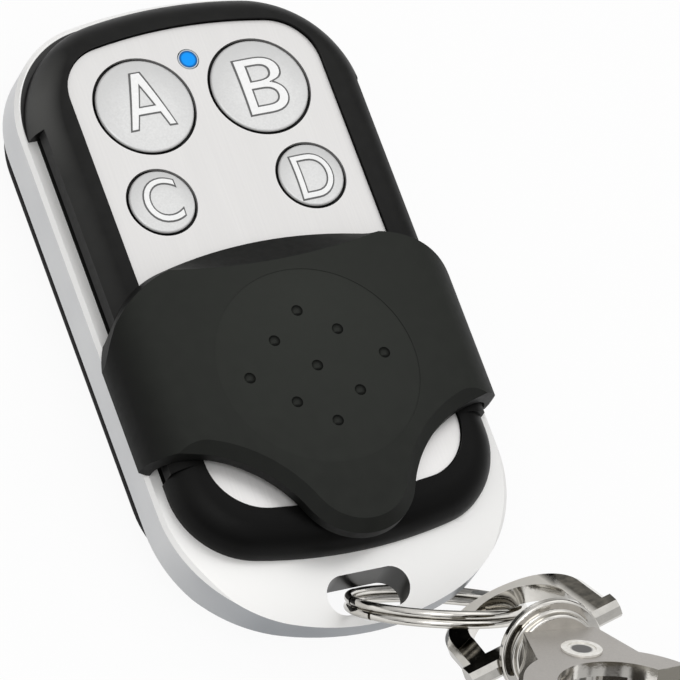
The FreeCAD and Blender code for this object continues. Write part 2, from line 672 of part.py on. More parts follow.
def arch(half_width, foot, top, radius):
    """A shell's cross-section as a long solid along Y: upright sides, round shoulders, flat top."""
    low_y = TONGUE_CENTRE - 3 * TONGUE_RADIUS
    length = COVER_FRONT_FOOT + 2 * COVER_WALL - low_y
    bend = radius * cos(pi / 4)
    cx, cz = half_width - radius, top - radius

    def at(x, z):
        return V(x, low_y, z)
    edges = [
        Part.LineSegment(at(-half_width, foot), at(half_width, foot)),
        Part.LineSegment(at(half_width, foot), at(half_width, cz)),
        Part.Arc(at(half_width, cz), at(cx + bend, cz + bend), at(cx, top)),
        Part.LineSegment(at(cx, top), at(-cx, top)),
        Part.Arc(at(-cx, top), at(-cx - bend, cz + bend), at(-half_width, cz)),
        Part.LineSegment(at(-half_width, cz), at(-half_width, foot)),
    ]
    return Part.Face(Part.Wire([e.toShape() for e in edges])).extrude(V(0, length, 0))


def slide_cover():
    """Shell that rides over the bezel, with a runner in each groove."""
    low = COVER_FOOT - COVER_WALL
    body = arch(COVER_HALF_WIDTH, COVER_FOOT, COVER_TOP, COVER_ROUND)
    body = body.common(cover_front_limit(low)).common(cover_rear_limit(low))
    hollow = arch(COVER_HALF_WIDTH - COVER_WALL, low, COVER_TOP - COVER_WALL, COVER_ROUND - COVER_WALL)
    hollow = hollow.common(cover_front_limit(low, COVER_FRONT_WALL))
    hollow = hollow.common(cover_rear_limit(low, -COVER_WALL))
    gap = BEZEL_CLEARANCE
    saddle = arch(COVER_HALF_WIDTH - COVER_WALL, low, BEZEL_TOP + gap, SHOULDER_ROUND + gap)
    body = body.cut(hollow).cut(saddle)
    runner_low = FRAME_TOP + GROOVE_LIFT + FIT_GAP
    front = COVER_FRONT_LIP - FIT_GAP
    for way in (-1, 1):
        inner, outer = sorted((way * (BEZEL_PLAN.half_width - RAIL_DEPTH - GROOVE_DEPTH + RUNNER_TIP_GAP),
                               way * (COVER_HALF_WIDTH - COVER_WALL / 2)))
        body = body.fuse(block(inner, outer, front - RUNNER_LENGTH, front, runner_low,
                               runner_low + RUNNER_HEIGHT))
    body = body.cut(post(0, DIMPLE_CENTRE, COVER_TOP - DISC_DEPTH, COVER_TOP + WALL, DISC_RADIUS))
    floor = COVER_TOP - DISC_DEPTH
    for x, y in DIMPLES:
        ball = Part.makeSphere(DIMPLE_RADIUS, V(x, DIMPLE_CENTRE + y, floor + DIMPLE_RADIUS - DIMPLE_DEPTH))
        stem = post(x, DIMPLE_CENTRE + y, ball.BoundBox.Center.z, COVER_TOP + WALL, DIMPLE_RADIUS)
        body = body.cut(ball.fuse(stem))
    return body.removeSplitter()


def axes_placement(centre, x_axis, y_axis):
    """Placement whose X and Y lie along the given directions."""
    z_axis = x_axis.cross(y_axis)
    turn = FreeCAD.Rotation(x_axis, y_axis, z_axis, "ZXY")
    return FreeCAD.Placement(centre, turn)


def split_ring():
    """Two flat coils of one wire, revolved as one section, with a split in each coil."""
    ring_along = V(RING_ALONG).normalize()
    centre = RING_IN_SLOT + ring_along * RING_RADIUS
    half_pitch = RING_COIL_PITCH / 2
    notch = sqrt(RING_WIRE ** 2 - half_pitch ** 2)
    section = Part.Wire([
        Part.Arc(V(RING_RADIUS - notch, 0, 0), V(RING_RADIUS, 0, half_pitch + RING_WIRE),
                 V(RING_RADIUS + notch, 0, 0)).toShape(),
        Part.Arc(V(RING_RADIUS + notch, 0, 0), V(RING_RADIUS, 0, -half_pitch - RING_WIRE),
                 V(RING_RADIUS - notch, 0, 0)).toShape(),
    ])
    ring = Part.Face(section).revolve(V(0, 0, 0), V(0, 0, 1), 360)
    reach = RING_RADIUS + 2 * RING_WIRE
    for angle, way in ((RING_SPLIT_AT, 1), (RING_SPLIT_AT + RING_SPLIT_APART, -1)):
        cut = block(0, reach, -RING_SPLIT / 2, RING_SPLIT / 2, 0, 2 * RING_COIL_PITCH)
        if way < 0:
            cut.translate(V(0, 0, -2 * RING_COIL_PITCH))
        cut.rotate(V(0, 0, 0), V(0, 0, 1), angle)
        ring = ring.cut(cut)
    across = squared(RING_NORMAL, ring_along).cross(ring_along)
    ring.Placement = axes_placement(centre, ring_along, across).multiply(ring.Placement)
    return ring


def squared(direction, along):
    """The unit direction square to the given one."""
    return (direction - along * direction.dot(along)).normalize()


def clasp_centre():
    """The collar's centre, set off from the wire point that carries the loop."""
    along = V(CLASP_ALONG).normalize()
    ring_along = V(RING_ALONG).normalize()
    ring_across = squared(RING_NORMAL, ring_along).cross(ring_along)
    turn = radians(LOOP_ON_RING)
    ring_centre = RING_IN_SLOT + ring_along * RING_RADIUS
    hung_on = ring_centre + (ring_along * cos(turn) - ring_across * sin(turn)) * RING_RADIUS
    return hung_on + along * LOOP_REACH + squared(LOOP_BAR, along) * LOOP_SHIFT


def clasp_frame():
    """Placement of the hook: X away from the thumb tab, Y to the hook's tip, Z out of its face."""
    along = V(CLASP_ALONG).normalize()
    return axes_placement(clasp_centre(), along.cross(squared(CLASP_FACE, along)), along)


def loop_frame():
    """Placement of the eye loop: X along its bar, Y to its apex."""
    along = V(CLASP_ALONG).normalize()
    return axes_placement(clasp_centre() - along * LOOP_BACK, squared(LOOP_BAR, along), along * -1)


def loop_outline(half_width, height, foot, z):
    """D-shaped wire: straight foot, sides that lean in a little and a bowed apex."""
    lean = LOOP_LEAN * half_width
    hip = LOOP_HIP * height
    shoulder = (LOOP_SHOULDER[0] * half_width, LOOP_SHOULDER[1] * height)
    brow = (LOOP_BROW[0] * half_width, LOOP_BROW[1] * height)

    def at(x, y):
        return V(x, y, z)
    return [
        Part.LineSegment(at(-half_width, foot), at(half_width, foot)).toShape(),
        Part.LineSegment(at(half_width, foot), at(lean, hip)).toShape(),
        Part.Arc(at(lean, hip), at(*shoulder), at(*brow)).toShape(),
        Part.Arc(at(*brow), at(0, height), at(-brow[0], brow[1])).toShape(),
        Part.Arc(at(-brow[0], brow[1]), at(-shoulder[0], shoulder[1]), at(-lean, hip)).toShape(),
        Part.LineSegment(at(-lean, hip), at(-half_width, foot)).toShape(),
    ]


def clasp_loop():
    """Eye loop: a D with bevelled edges, thinner at its apex, and a squared bar with a hub for the post."""
    half = LOOP_SECTION / 2
    front = LOOP_DEPTH / 2
    outer = Part.Face(Part.Wire(loop_outline(LOOP_HALF_WIDTH, LOOP_HEIGHT, -half, -front)))
    outer = outer.extrude(V(0, 0, LOOP_DEPTH))
    outer = outer.makeChamfer(LOOP_BEVEL, edges_at_height(outer, front) + edges_at_height(outer, -front))
    inner = Part.Face(Part.Wire(loop_outline(LOOP_HALF_WIDTH - LOOP_SECTION, LOOP_HEIGHT - LOOP_APEX, half,
                                             -LOOP_DEPTH)))
    loop = outer.cut(inner.extrude(V(0, 0, 2 * LOOP_DEPTH)))
    reach = LOOP_HALF_WIDTH + BAR_END
    bar = block(-reach, reach, -half, half, -front, front)
    bar = bar.makeChamfer(LOOP_BEVEL, [e for e in bar.Edges if e.BoundBox.XLength > LOOP_SECTION])
    hub = Part.makeCylinder(POST_RADIUS + HUB_WALL, LOOP_SECTION, V(0, -half, 0), V(0, 1, 0))
    loop = fuse_all([loop, bar, hub])
    hole = Part.makeCylinder(POST_RADIUS + FIT_GAP / 2, 2 * LOOP_SECTION, V(0, -LOOP_SECTION, 0), V(0, 1, 0))
    loop = loop.cut(hole)
    loop.Placement = loop_frame().multiply(loop.Placement)
    return loop


def swivel_post():
    """Headed post: the head inside the loop, the shank through its bar and into the hook."""
    half = LOOP_SECTION / 2
    head_foot = -LOOP_BACK - half - FIT_GAP
    head = Part.makeCylinder(POST_HEAD_RADIUS, POST_HEAD_THICK, V(0, head_foot - POST_HEAD_THICK, 0),
                             V(0, 1, 0))
    shank = Part.makeCylinder(POST_RADIUS, collar_end() - head_foot, V(0, head_foot, 0), V(0, 1, 0))
    shape = fuse_all([head, shank])
    shape.Placement = clasp_frame().multiply(shape.Placement)
    return shape


def hook_collar():
    """Stepped collar between the loop's bar and the hook."""
    foot = -LOOP_BACK + LOOP_SECTION / 2 + FIT_GAP
    flange = Part.makeCylinder(COLLAR_RADIUS, COLLAR_THICK, V(0, foot, 0), V(0, 1, 0))
    step = Part.makeCylinder(STEP_RADIUS, STEP_THICK, V(0, foot + COLLAR_THICK, 0), V(0, 1, 0))
    shape = fuse_all([flange, step])
    rims = [e for e in shape.Edges if e.BoundBox.YLength < 1e-4 and e.BoundBox.XLength > STEP_RADIUS]
    shape = shape.makeFillet(LOOSE_GAP, rims)
    shape = shape.cut(Part.makeCylinder(POST_RADIUS, HOOK_BORE_AT, V(0, -HOOK_BORE_AT / 2, 0), V(0, 1, 0)))
    shape.Placement = clasp_frame().multiply(shape.Placement)
    return shape


def collar_end():
    return -LOOP_BACK + LOOP_SECTION / 2 + FIT_GAP + COLLAR_THICK + STEP_THICK


def hook_plate(outline_face, half_thick):
    """Extrude a flat face both ways about the hook's middle plane."""
    outline_face.translate(V(0, 0, -half_thick))
    return outline_face.extrude(V(0, 0, 2 * half_thick))


def hook_neck(half_thick):
    start = collar_end()
    bore_y = start + HOOK_BORE_AT
    broad = NECK_HALF_WIDTH + tan(radians(NECK_FLARE)) * HOOK_BORE_AT
    face = Part.Face(polygon([V(-NECK_HALF_WIDTH, start, 0), V(NECK_HALF_WIDTH, start, 0),
                              V(broad, bore_y, 0), V(-broad, bore_y, 0)]))
    return hook_plate(face, half_thick)


def gate_window(gap, root, half_thick):
    """The stretch of the hook's right side that the gate closes, less a gap at its top and with its root."""
    centre_y = collar_end() + HOOK_BORE_AT
    reach = 2 * HOOK_OUTER - GATE_STAND_OFF
    low, high = centre_y + GATE_LOW - root, centre_y + GATE_HIGH - gap
    face = Part.Face(polygon([
        V(-GATE_STAND_OFF, low, 0),
        V(-GATE_STAND_OFF - reach, low - GATE_LOW_FALL * reach, 0),
        V(-GATE_STAND_OFF - reach, high - GATE_HIGH_FALL * reach, 0),
        V(-GATE_STAND_OFF, high, 0),
    ]))
    return hook_plate(face, half_thick)


def hook_body():
    """Flat-sided hook: flared neck, round opening and a claw round its far side."""
    half = HOOK_THICK / 2
    start = collar_end()
    centre = V(0, start + HOOK_BORE_AT, -half)
    disc = Part.makeCylinder(HOOK_OUTER, HOOK_THICK, centre, V(0, 0, 1))
    body = hook_neck(half).fuse(disc)
    body = body.cut(Part.makeCylinder(HOOK_BORE, 3 * HOOK_THICK, centre - V(0, 0, HOOK_THICK), V(0, 0, 1)))
    body = body.cut(gate_window(0.0, 0.0, HOOK_THICK))
    slot_half = GATE_THICK / 2 + FIT_GAP
    slot_foot = start + RIVET_AT - GATE_PIVOT_RADIUS - LOOSE_GAP
    slot = block(-2 * HOOK_OUTER, GATE_PIVOT_RADIUS + LOOSE_GAP, slot_foot, centre.y, -slot_half, slot_half)
    body = body.cut(slot)
    pin = Part.makeCylinder(RIVET_RADIUS, 2 * HOOK_THICK, V(0, start + RIVET_AT, -HOOK_THICK), V(0, 0, 1))
    body = body.cut(pin).removeSplitter()
    body.Placement = clasp_frame().multiply(body.Placement)
    return body


def hook_rivet():
    """Pin of the gate with a dished head on each face of the hook."""
    half = HOOK_THICK / 2
    y = collar_end() + RIVET_AT
    shapes = [Part.makeCylinder(RIVET_RADIUS, HOOK_THICK, V(0, y, -half), V(0, 0, 1))]
    for way in (-1, 1):
        face = V(0, y, way * half)
        out = V(0, 0, way)
        head = Part.makeCylinder(RIVET_HEAD_RADIUS, RIVET_HEAD_PROUD, face, out)
        dish = Part.makeCylinder(RIVET_HEAD_RADIUS - RIVET_RIM, RIVET_HEAD_PROUD,
                                 face + out * (RIVET_HEAD_PROUD / 2), out)
        shapes.append(head.cut(dish))
    shape = fuse_all(shapes)
    shape.Placement = clasp_frame().multiply(shape.Placement)
    return shape


def hook_gate():
    """Lever on the rivet: pivot eye, bar across the opening and the thumb tab."""
    half = GATE_THICK / 2
    start = collar_end()
    pivot = V(0, start + RIVET_AT, -half)
    centre_y = start + HOOK_BORE_AT
    eye = Part.makeCylinder(GATE_PIVOT_RADIUS, GATE_THICK, pivot, V(0, 0, 1))
    ring = Part.makeCylinder(HOOK_OUTER - FIT_GAP, GATE_THICK, V(0, centre_y, -half), V(0, 0, 1))
    ring = ring.cut(Part.makeCylinder(GATE_INNER, GATE_THICK, V(0, centre_y, -half), V(0, 0, 1)))
    bar = ring.common(gate_window(FIT_GAP, GATE_ROOT, half))
    link = Part.Face(polygon([V(x, centre_y + y, -half) for x, y in GATE_LINK])).extrude(V(0, 0, GATE_THICK))
    tab_y = centre_y + TAB_AT
    tab = block(-HOOK_OUTER - TAB_REACH, -GATE_INNER - TAB_SINK, tab_y - TAB_HALF_HEIGHT,
                tab_y + TAB_HALF_HEIGHT, -half, half)
    body = fuse_all([eye, bar, link, tab])
    bore = Part.makeCylinder(RIVET_RADIUS + FIT_GAP / 2, 2 * GATE_THICK, pivot - V(0, 0, half), V(0, 0, 1))
    body = body.cut(bore)
    body.Placement = clasp_frame().multiply(body.Placement)
    return body


def main():
    os.makedirs("parts", exist_ok=True)
    nodes = {
        "chrome_frame": chrome_frame(),
        "front_bezel": front_bezel(),
        "face_plate": face_plate(),
        "rear_cover": rear_cover(),
        "rear_screws": rear_screws(),
        "circuit_board": circuit_board(),
        "encoder_chip": encoder_chip(),
        "resonator": resonator(),
        "trim_capacitor": trim_capacitor(),
        "transistor": chip(*TRANSISTOR_PLACE, *TRANSISTOR_SIZE),
        "chip_capacitors": chip_row(CAPACITOR_PLACES, CAPACITOR_SIZE),
        "chip_resistors": chip_row(RESISTOR_PLACES, RESISTOR_SIZE),
        "led_chip": chip(0, LIGHT_Y, LED_SIDE, LED_SIDE, LED_HEIGHT),
        "led_window": led_window(),
        "battery_can": cell(),
        "battery_nub": cell_nub(),
        "plate_contact": plate_contact(),
        "spring_contact": spring_contact(),
        "slide_cover": slide_cover(),
        "split_ring": split_ring(),
        "clasp_loop": clasp_loop(),
        "swivel_post": swivel_post(),
        "hook_collar": hook_collar(),
        "hook_body": hook_body(),
        "hook_rivet": hook_rivet(),
        "hook_gate": hook_gate(),
    }
    for name, x, y, radius in BUTTONS:
        nodes["button_" + name] = button(x, y, radius)
        nodes["switch_" + name] = switch_body(x, y)
        nodes["plunger_" + name] = plunger(x, y)
    for name, shape in nodes.items():
        print(name, shape.isValid(), len(shape.Solids), round(shape.Volume, 3))
        shape.exportStep("parts/" + name + ".step")


if __name__ == "__main__":
    main()
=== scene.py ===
import json
from collections import namedtuple

import bmesh
import bpy
from mathutils import Matrix, Vector


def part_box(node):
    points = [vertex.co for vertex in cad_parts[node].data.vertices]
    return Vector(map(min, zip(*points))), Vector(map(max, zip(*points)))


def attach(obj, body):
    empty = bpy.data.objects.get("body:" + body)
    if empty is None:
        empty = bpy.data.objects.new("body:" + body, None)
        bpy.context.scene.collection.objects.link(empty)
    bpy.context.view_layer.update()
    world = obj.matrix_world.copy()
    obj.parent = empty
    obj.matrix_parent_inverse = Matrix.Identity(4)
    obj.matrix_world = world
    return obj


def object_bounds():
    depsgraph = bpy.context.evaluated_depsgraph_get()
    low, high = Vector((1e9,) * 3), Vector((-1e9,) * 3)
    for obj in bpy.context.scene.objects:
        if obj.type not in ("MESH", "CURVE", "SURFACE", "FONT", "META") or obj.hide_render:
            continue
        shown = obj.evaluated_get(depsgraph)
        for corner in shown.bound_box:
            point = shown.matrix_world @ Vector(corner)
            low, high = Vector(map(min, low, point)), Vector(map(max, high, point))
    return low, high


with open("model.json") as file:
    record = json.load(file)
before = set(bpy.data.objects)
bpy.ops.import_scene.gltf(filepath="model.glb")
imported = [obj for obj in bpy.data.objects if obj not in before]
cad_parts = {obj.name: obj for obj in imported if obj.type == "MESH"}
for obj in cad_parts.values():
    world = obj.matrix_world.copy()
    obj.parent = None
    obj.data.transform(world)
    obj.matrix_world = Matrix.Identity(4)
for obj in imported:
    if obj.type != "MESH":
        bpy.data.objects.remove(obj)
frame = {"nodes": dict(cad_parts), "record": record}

bl_info = {
    "name": "Garage door remote",
    "version": (1, 0, 0),
    "blender": (4, 5, 0),
    "location": "View3D > Sidebar > Remote",
    "description": "Finishes, raised letters and studio stage for a key-ring garage door remote",
    "category": "Object",
}

CAD_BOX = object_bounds()
NODES = frame["nodes"]
MOUNTS = {mount["name"]: mount for mount in frame["record"]["mounts"]}
MM = 0.001
WHITE = (1.0, 1.0, 1.0)
BLACK = (0.0, 0.0, 0.0)
UP = (0.0, 0.0, 1.0)
# Where Blender keeps the two colours that a Mix node takes, and the one that it gives
MIX_FIRST = 6
MIX_SECOND = 7
MIX_RESULT = 2

# The chrome frame. Its walls carry painted reflections: each pair of greys is a darker and a paler tone
# that change in patches, the second pair on the walls that face towards the chin.
CHROME_SIDE_REFLECTION = ((0.6, 0.605, 0.615), (0.66, 0.665, 0.67))
CHROME_FOOT_REFLECTION = ((0.26, 0.275, 0.295), (0.34, 0.355, 0.375))
CHROME_PATCH = 6.0 * MM
# Where a painted reflection makes its face greyer along x, and where a painted dark reflection darkens its
# rim along y, towards the chin
FACE_REFLECTION_FADE = (3.0 * MM, 15.0 * MM)
RIM_REFLECTION_FADE = (-23.0 * MM, -19.0 * MM)
RIM_DARK_REFLECTION = (0.05, 0.05, 0.05)
# The middle of the key slot in the chin, and the half length and half width of the painted shade in and
# round it
KEY_SLOT = MOUNTS["key_slot"]["pos_m"][:2]
KEY_SLOT_SHADE_REACH = (4.4 * MM, 2.15 * MM)
KEY_SLOT_SHADE = (0.012, 0.012, 0.01)
# The black lip on the frame's ledge at the head's corners: its circle on the right, its lowest y, and how
# wide its edge is
LIP_CENTRE = (6.62 * MM, 19.56 * MM)
LIP_RADIUS = 9.17 * MM
LIP_FOOT = 19.0 * MM
LIP_EDGE = 0.04 * MM
# The infill in the frame beneath the bezel's lower right corner: its low and high corners, and how round
# its upright edges are
INFILL = ((9.8 * MM, -23.0 * MM, 6.9 * MM), (10.78 * MM, -22.2 * MM, 7.19 * MM))
INFILL_ROUND = 0.15 * MM

# The bezel: where painted shade fades it to black along y, towards the chin, the way that its left
# shoulder looks, and where along y that shoulder takes on a painted highlight
BEZEL_SHADE_FADE = (-22.0 * MM, 12.0 * MM)
SHOULDER_HIGHLIGHT_FACE = (-0.8, 0.0, 0.6)
SHOULDER_HIGHLIGHT_FADE = (14.0 * MM, 22.0 * MM)

# The sliding cover: its grip disc and how much paler that is, the middle of a painted pool of light and
# how far that reaches, and the way that its front end looks, where painted shade lies
COVER_DISC = (0.0, -8.55 * MM)
COVER_DISC_RADIUS = 9.2 * MM
COVER_DISC_TINT = (1.12, 1.12, 1.12)
COVER_LIGHT_POOL = (1.0 * MM, -2.0 * MM)
COVER_LIGHT_POOL_REACH = 20.0 * MM
COVER_FRONT_SHADE = (0.0, 0.75, 0.66)

# Where painted light makes the face plate brighter along y, towards the chin, against the cover's shadow,
# and how much
PLATE_LIGHT_FADE = (-22.0 * MM, -13.0 * MM)
PLATE_LIGHT_TINT = (1.28, 1.28, 1.28)

# The keys: the width of the flange under the plate, how far below its top a key's rounded edge ends, how
# wide that end is, and the black below it
KEY_NAMES = ("a", "b", "c", "d")
LARGE_KEYS = ("a", "b")
KEY_FLANGE = 0.5 * MM
KEY_SHOULDER = 0.5 * MM
KEY_EDGE = 0.06 * MM
KEY_BLACK = (0.006, 0.006, 0.006)
# In shares of a key's radius: how far below its middle the painted light is palest, and how far from there
# painted shade darkens it
KEY_LIGHT_SPOT = 0.35
KEY_SHADE_FADE = (0.6, 1.35)

# The light window: the width of its hidden rim, the blue at its edge, the pale line round that, between
# which shares of its radius each begins, and how strongly it glows
WINDOW_RIM = 0.5 * MM
WINDOW_EDGE = (0.002, 0.09, 0.3)
WINDOW_EDGE_FADE = (0.62, 0.84)
WINDOW_LINE = (0.56, 0.62, 0.66)
WINDOW_LINE_FADE = (0.9, 0.94)
WINDOW_GLOW = 0.12

# The clasp: its parts in plain nickel, and the painted brown reflection that nickel shows where it looks
# down
NICKEL_PARTS = ("split_ring", "swivel_post", "hook_collar", "hook_gate")
NICKEL_SHADE = (0.1, 0.09, 0.07)
# The ways that the hook's flat faces and the outer band of its loop look
HOOK_FACE = (0.0994, 0.6701, 0.7337)
LOOP_BAND = (-0.313, 0.661, 0.682)
# How squarely a face looks one of these ways where its tone, a painted reflection in part, begins, and
# where that is full
FLAT_FADE = (0.9, 0.98)
HOOK_FLAT_FADE = (0.93, 0.98)
# The tones of those faces, which are painted reflections: on plain nickel, on the hook's ground sides,
# whose matt grind is real, and on the loop's band
NICKEL_FLAT_REFLECTION = (0.26, 0.25, 0.225)
HOOK_GROUND_AND_REFLECTION = ((0.475, 0.455, 0.43), (0.53, 0.505, 0.475))
LOOP_DARK_REFLECTION = ((0.03, 0.028, 0.022), (0.12, 0.11, 0.09))
LOOP_HIGHLIGHT = (0.88, 0.85, 0.79)
# Where the painted highlight lies on the loop's band along x, and how wide the ends of that stretch are
LOOP_HIGHLIGHT_SPAN = (5.5 * MM, 12.6 * MM)
LOOP_FADE = 0.8 * MM
# The rivet: the radii at which the painted shade in its hollow middle ends and its plating, with a painted
# highlight, begins, and their tones
RIVET_EYE = (0.8 * MM, 1.0 * MM)
RIVET_EYE_SHADE = (0.012, 0.009, 0.006)
RIVET_HIGHLIGHT = ((0.72, 0.7, 0.65), (0.92, 0.9, 0.85))

# The circuit board: its two greens, and the colour and spacing of its tracks
BOARD_GREEN = ((0.008, 0.1, 0.035), (0.015, 0.16, 0.05))
BOARD_TRACK = (0.05, 0.3, 0.09)
TRACK_PITCH = 3.0 * MM

# The cell: its sleeve's two tones, its steel, how much of that is bare at each end, and how wide the edge
# between them is
SLEEVE = ((0.015, 0.017, 0.024), (0.03, 0.033, 0.045))
CELL_STEEL = (0.62, 0.61, 0.58)
CELL_HEAD = 0.5 * MM
CELL_FOOT = 0.3 * MM
CELL_EDGE = 0.1 * MM

# Small parts with a grained finish: its name, the nodes that take it, its tone, metal and roughness, and
# the size of its grain
Grained = namedtuple("Grained", "name nodes tone metal rough grain")
SMALL_PARTS = (
    Grained("package", ("encoder_chip", "transistor", "chip_resistors"),
            (0.02, 0.02, 0.021), 0.0, 0.5, 0.15 * MM),
    Grained("ceramic", ("chip_capacitors", "trim_capacitor"), (0.42, 0.29, 0.17), 0.0, 0.45, 0.2 * MM),
    Grained("tinned", ("resonator", "battery_nub", "plate_contact", "spring_contact"),
            (0.66, 0.66, 0.64), 1.0, 0.28, 0.4 * MM),
    Grained("switch_case", ["switch_" + name for name in KEY_NAMES],
            (0.05, 0.05, 0.052), 0.0, 0.45, 0.2 * MM),
    Grained("plunger", ["plunger_" + name for name in KEY_NAMES],
            (0.09, 0.09, 0.09), 0.0, 0.4, 0.2 * MM),
    Grained("black_zinc", ("rear_screws",), (0.2, 0.2, 0.21), 1.0, 0.32, 0.3 * MM),
    Grained("light_chip", ("led_chip",), (0.75, 0.72, 0.45), 0.0, 0.3, 0.2 * MM),
)

# Each letter: its width as a part of its height, where its middle lies from the key's middle in
# millimetres, how much wider than the font's its upper half is, about which part of its width, and how
# far its bar is lowered as a part of its height
Letter = namedtuple("Letter", "text share shift head hinge bar")
LETTERS = {
    "a": Letter("A", 0.8, (0.04, 0.42), 2.0, 0.49, 0.05),
    "b": Letter("B", 0.74, (0.17, -0.1), 1.16, 0.0, 0.0),
    "c": Letter("C", 0.8, (-0.08, 0.03), 1.0, 0.0, 0.0),
    "d": Letter("D", 0.82, (0.15, -0.18), 1.0, 0.0, 0.0),
}
# In parts of a letter's height: its waist, how far above that its upper half is full, and where a bar
# lies, and then the slope of the legs that the bar joins
WAIST = 0.5
WAIST_FADE = 0.08
BAR_BAND = (0.2, 0.5)
LEG_SLOPE = 0.44
# The pitch of the cuts that let a letter follow its key's crown, and the height from which it is dropped
LETTER_GRID = 0.5 * MM
LETTER_DROP = 1.0 * MM

# The stage: how far the floor lies below the part, how much of it is plain white where it is seen
# directly, and the softboxes with their names, places, widths and watts
FLOOR_GAP = 0.02 * MM
FLOOR_WHITE = 0.93
LAMPS = (
    ("key_lamp", (-0.35, -0.2, 0.95), 0.6, 1.6),
    ("fill_lamp", (0.5, 0.3, 0.85), 0.7, 0.7),
)
# The surroundings: the scale of the patches on the walls, their dark and pale tones and where each is
# full, the ceiling's tone, and between which heights it begins
WALL_SCALE = 1.8
WALL_TONES = ((0.42, (0.04, 0.037, 0.033)), (0.5, (0.55, 0.55, 0.55)))
CEILING_TONE = (0.86, 0.86, 0.86)
CEILING_RISE = ((0.3, BLACK), (0.62, WHITE))
# The camera: where it stands, its right, down and forward directions, and its lens and sensor in
# millimetres
CAMERA_PLACE = (-0.3033, -0.25994, 0.62514)
CAMERA_RIGHT = (0.8916, -0.3312, 0.3087)
CAMERA_DOWN = (-0.1708, -0.8775, -0.4482)
CAMERA_FORWARD = (0.4193, 0.3469, -0.8390)
CAMERA_LENS = 453.7
SENSOR_WIDTH = 36.0


class RemoteSizes(bpy.types.PropertyGroup):
    """Sizes that a user may change."""

    large_letter: bpy.props.FloatProperty(
        name="Large letter height", description="Height of the letters on the two large keys",
        default=5.35 * MM, min=1.0 * MM, max=7.0 * MM, precision=5, unit="LENGTH")
    small_letter: bpy.props.FloatProperty(
        name="Small letter height", description="Height of the letters on the two small keys",
        default=4.15 * MM, min=1.0 * MM, max=5.0 * MM, precision=5, unit="LENGTH")
    letter_rise: bpy.props.FloatProperty(
        name="Letter rise", description="How far the letters stand above their keys",
        default=0.06 * MM, min=0.02 * MM, max=0.4 * MM, precision=5, unit="LENGTH")
    letter_thinning: bpy.props.FloatProperty(
        name="Letter thinning", description="How far each side of a stroke lies inside the font's outline",
        default=0.05 * MM, min=0.0, max=0.2 * MM, precision=5, unit="LENGTH")
    # The grey line round each letter is painted shade for the shaded sides of the raised letters
    letter_shade_line: bpy.props.FloatProperty(
        name="Letter border", description="Width of the grey line round each letter",
        default=0.15 * MM, min=0.01 * MM, max=0.3 * MM, precision=5, unit="LENGTH")
    floor_width: bpy.props.FloatProperty(
        name="Floor width", description="Side of the square floor under the remote",
        default=4.0, min=0.5, max=20.0, unit="LENGTH")


class RemoteColours(bpy.types.PropertyGroup):
    """Colours that a user may change."""

    chrome: bpy.props.FloatVectorProperty(
        name="Chrome", description="Polished frame", default=(0.97, 0.965, 0.95), size=3, subtype="COLOR")
    nickel: bpy.props.FloatVectorProperty(
        name="Nickel", description="Ring and snap hook", default=(0.72, 0.7, 0.66), size=3,
        subtype="COLOR")
    shell: bpy.props.FloatVectorProperty(
        name="Shell", description="Black shells", default=(0.014, 0.014, 0.0135), size=3, subtype="COLOR")
    cover: bpy.props.FloatVectorProperty(
        name="Cover", description="Sliding cover", default=(0.0145, 0.0158, 0.0135), size=3,
        subtype="COLOR")
    plate: bpy.props.FloatVectorProperty(
        name="Plate", description="Brushed face plate", default=(0.765, 0.755, 0.745), size=3,
        subtype="COLOR")
    key: bpy.props.FloatVectorProperty(
        name="Key", description="Key caps", default=(0.75, 0.75, 0.745), size=3, subtype="COLOR")
    letter: bpy.props.FloatVectorProperty(
        name="Letter", description="Raised letters", default=(0.98, 0.98, 0.97), size=3, subtype="COLOR")
    # The letters' border colour is painted shade for the shaded sides of the raised letters
    border: bpy.props.FloatVectorProperty(
        name="Letter border", description="Line round each letter", default=(0.12, 0.12, 0.12), size=3,
        subtype="COLOR")
    light: bpy.props.FloatVectorProperty(
        name="Light", description="Middle of the light window", default=(0.004, 0.31, 0.95), size=3,
        subtype="COLOR")
    floor: bpy.props.FloatVectorProperty(
        name="Floor", description="Floor under the remote", default=(0.86, 0.86, 0.86), size=3,
        subtype="COLOR")


def sizes():
    """The sizes as the user has set them."""
    return bpy.context.scene.remote_sizes


def colours():
    """The colours as the user has set them."""
    return bpy.context.scene.remote_colours


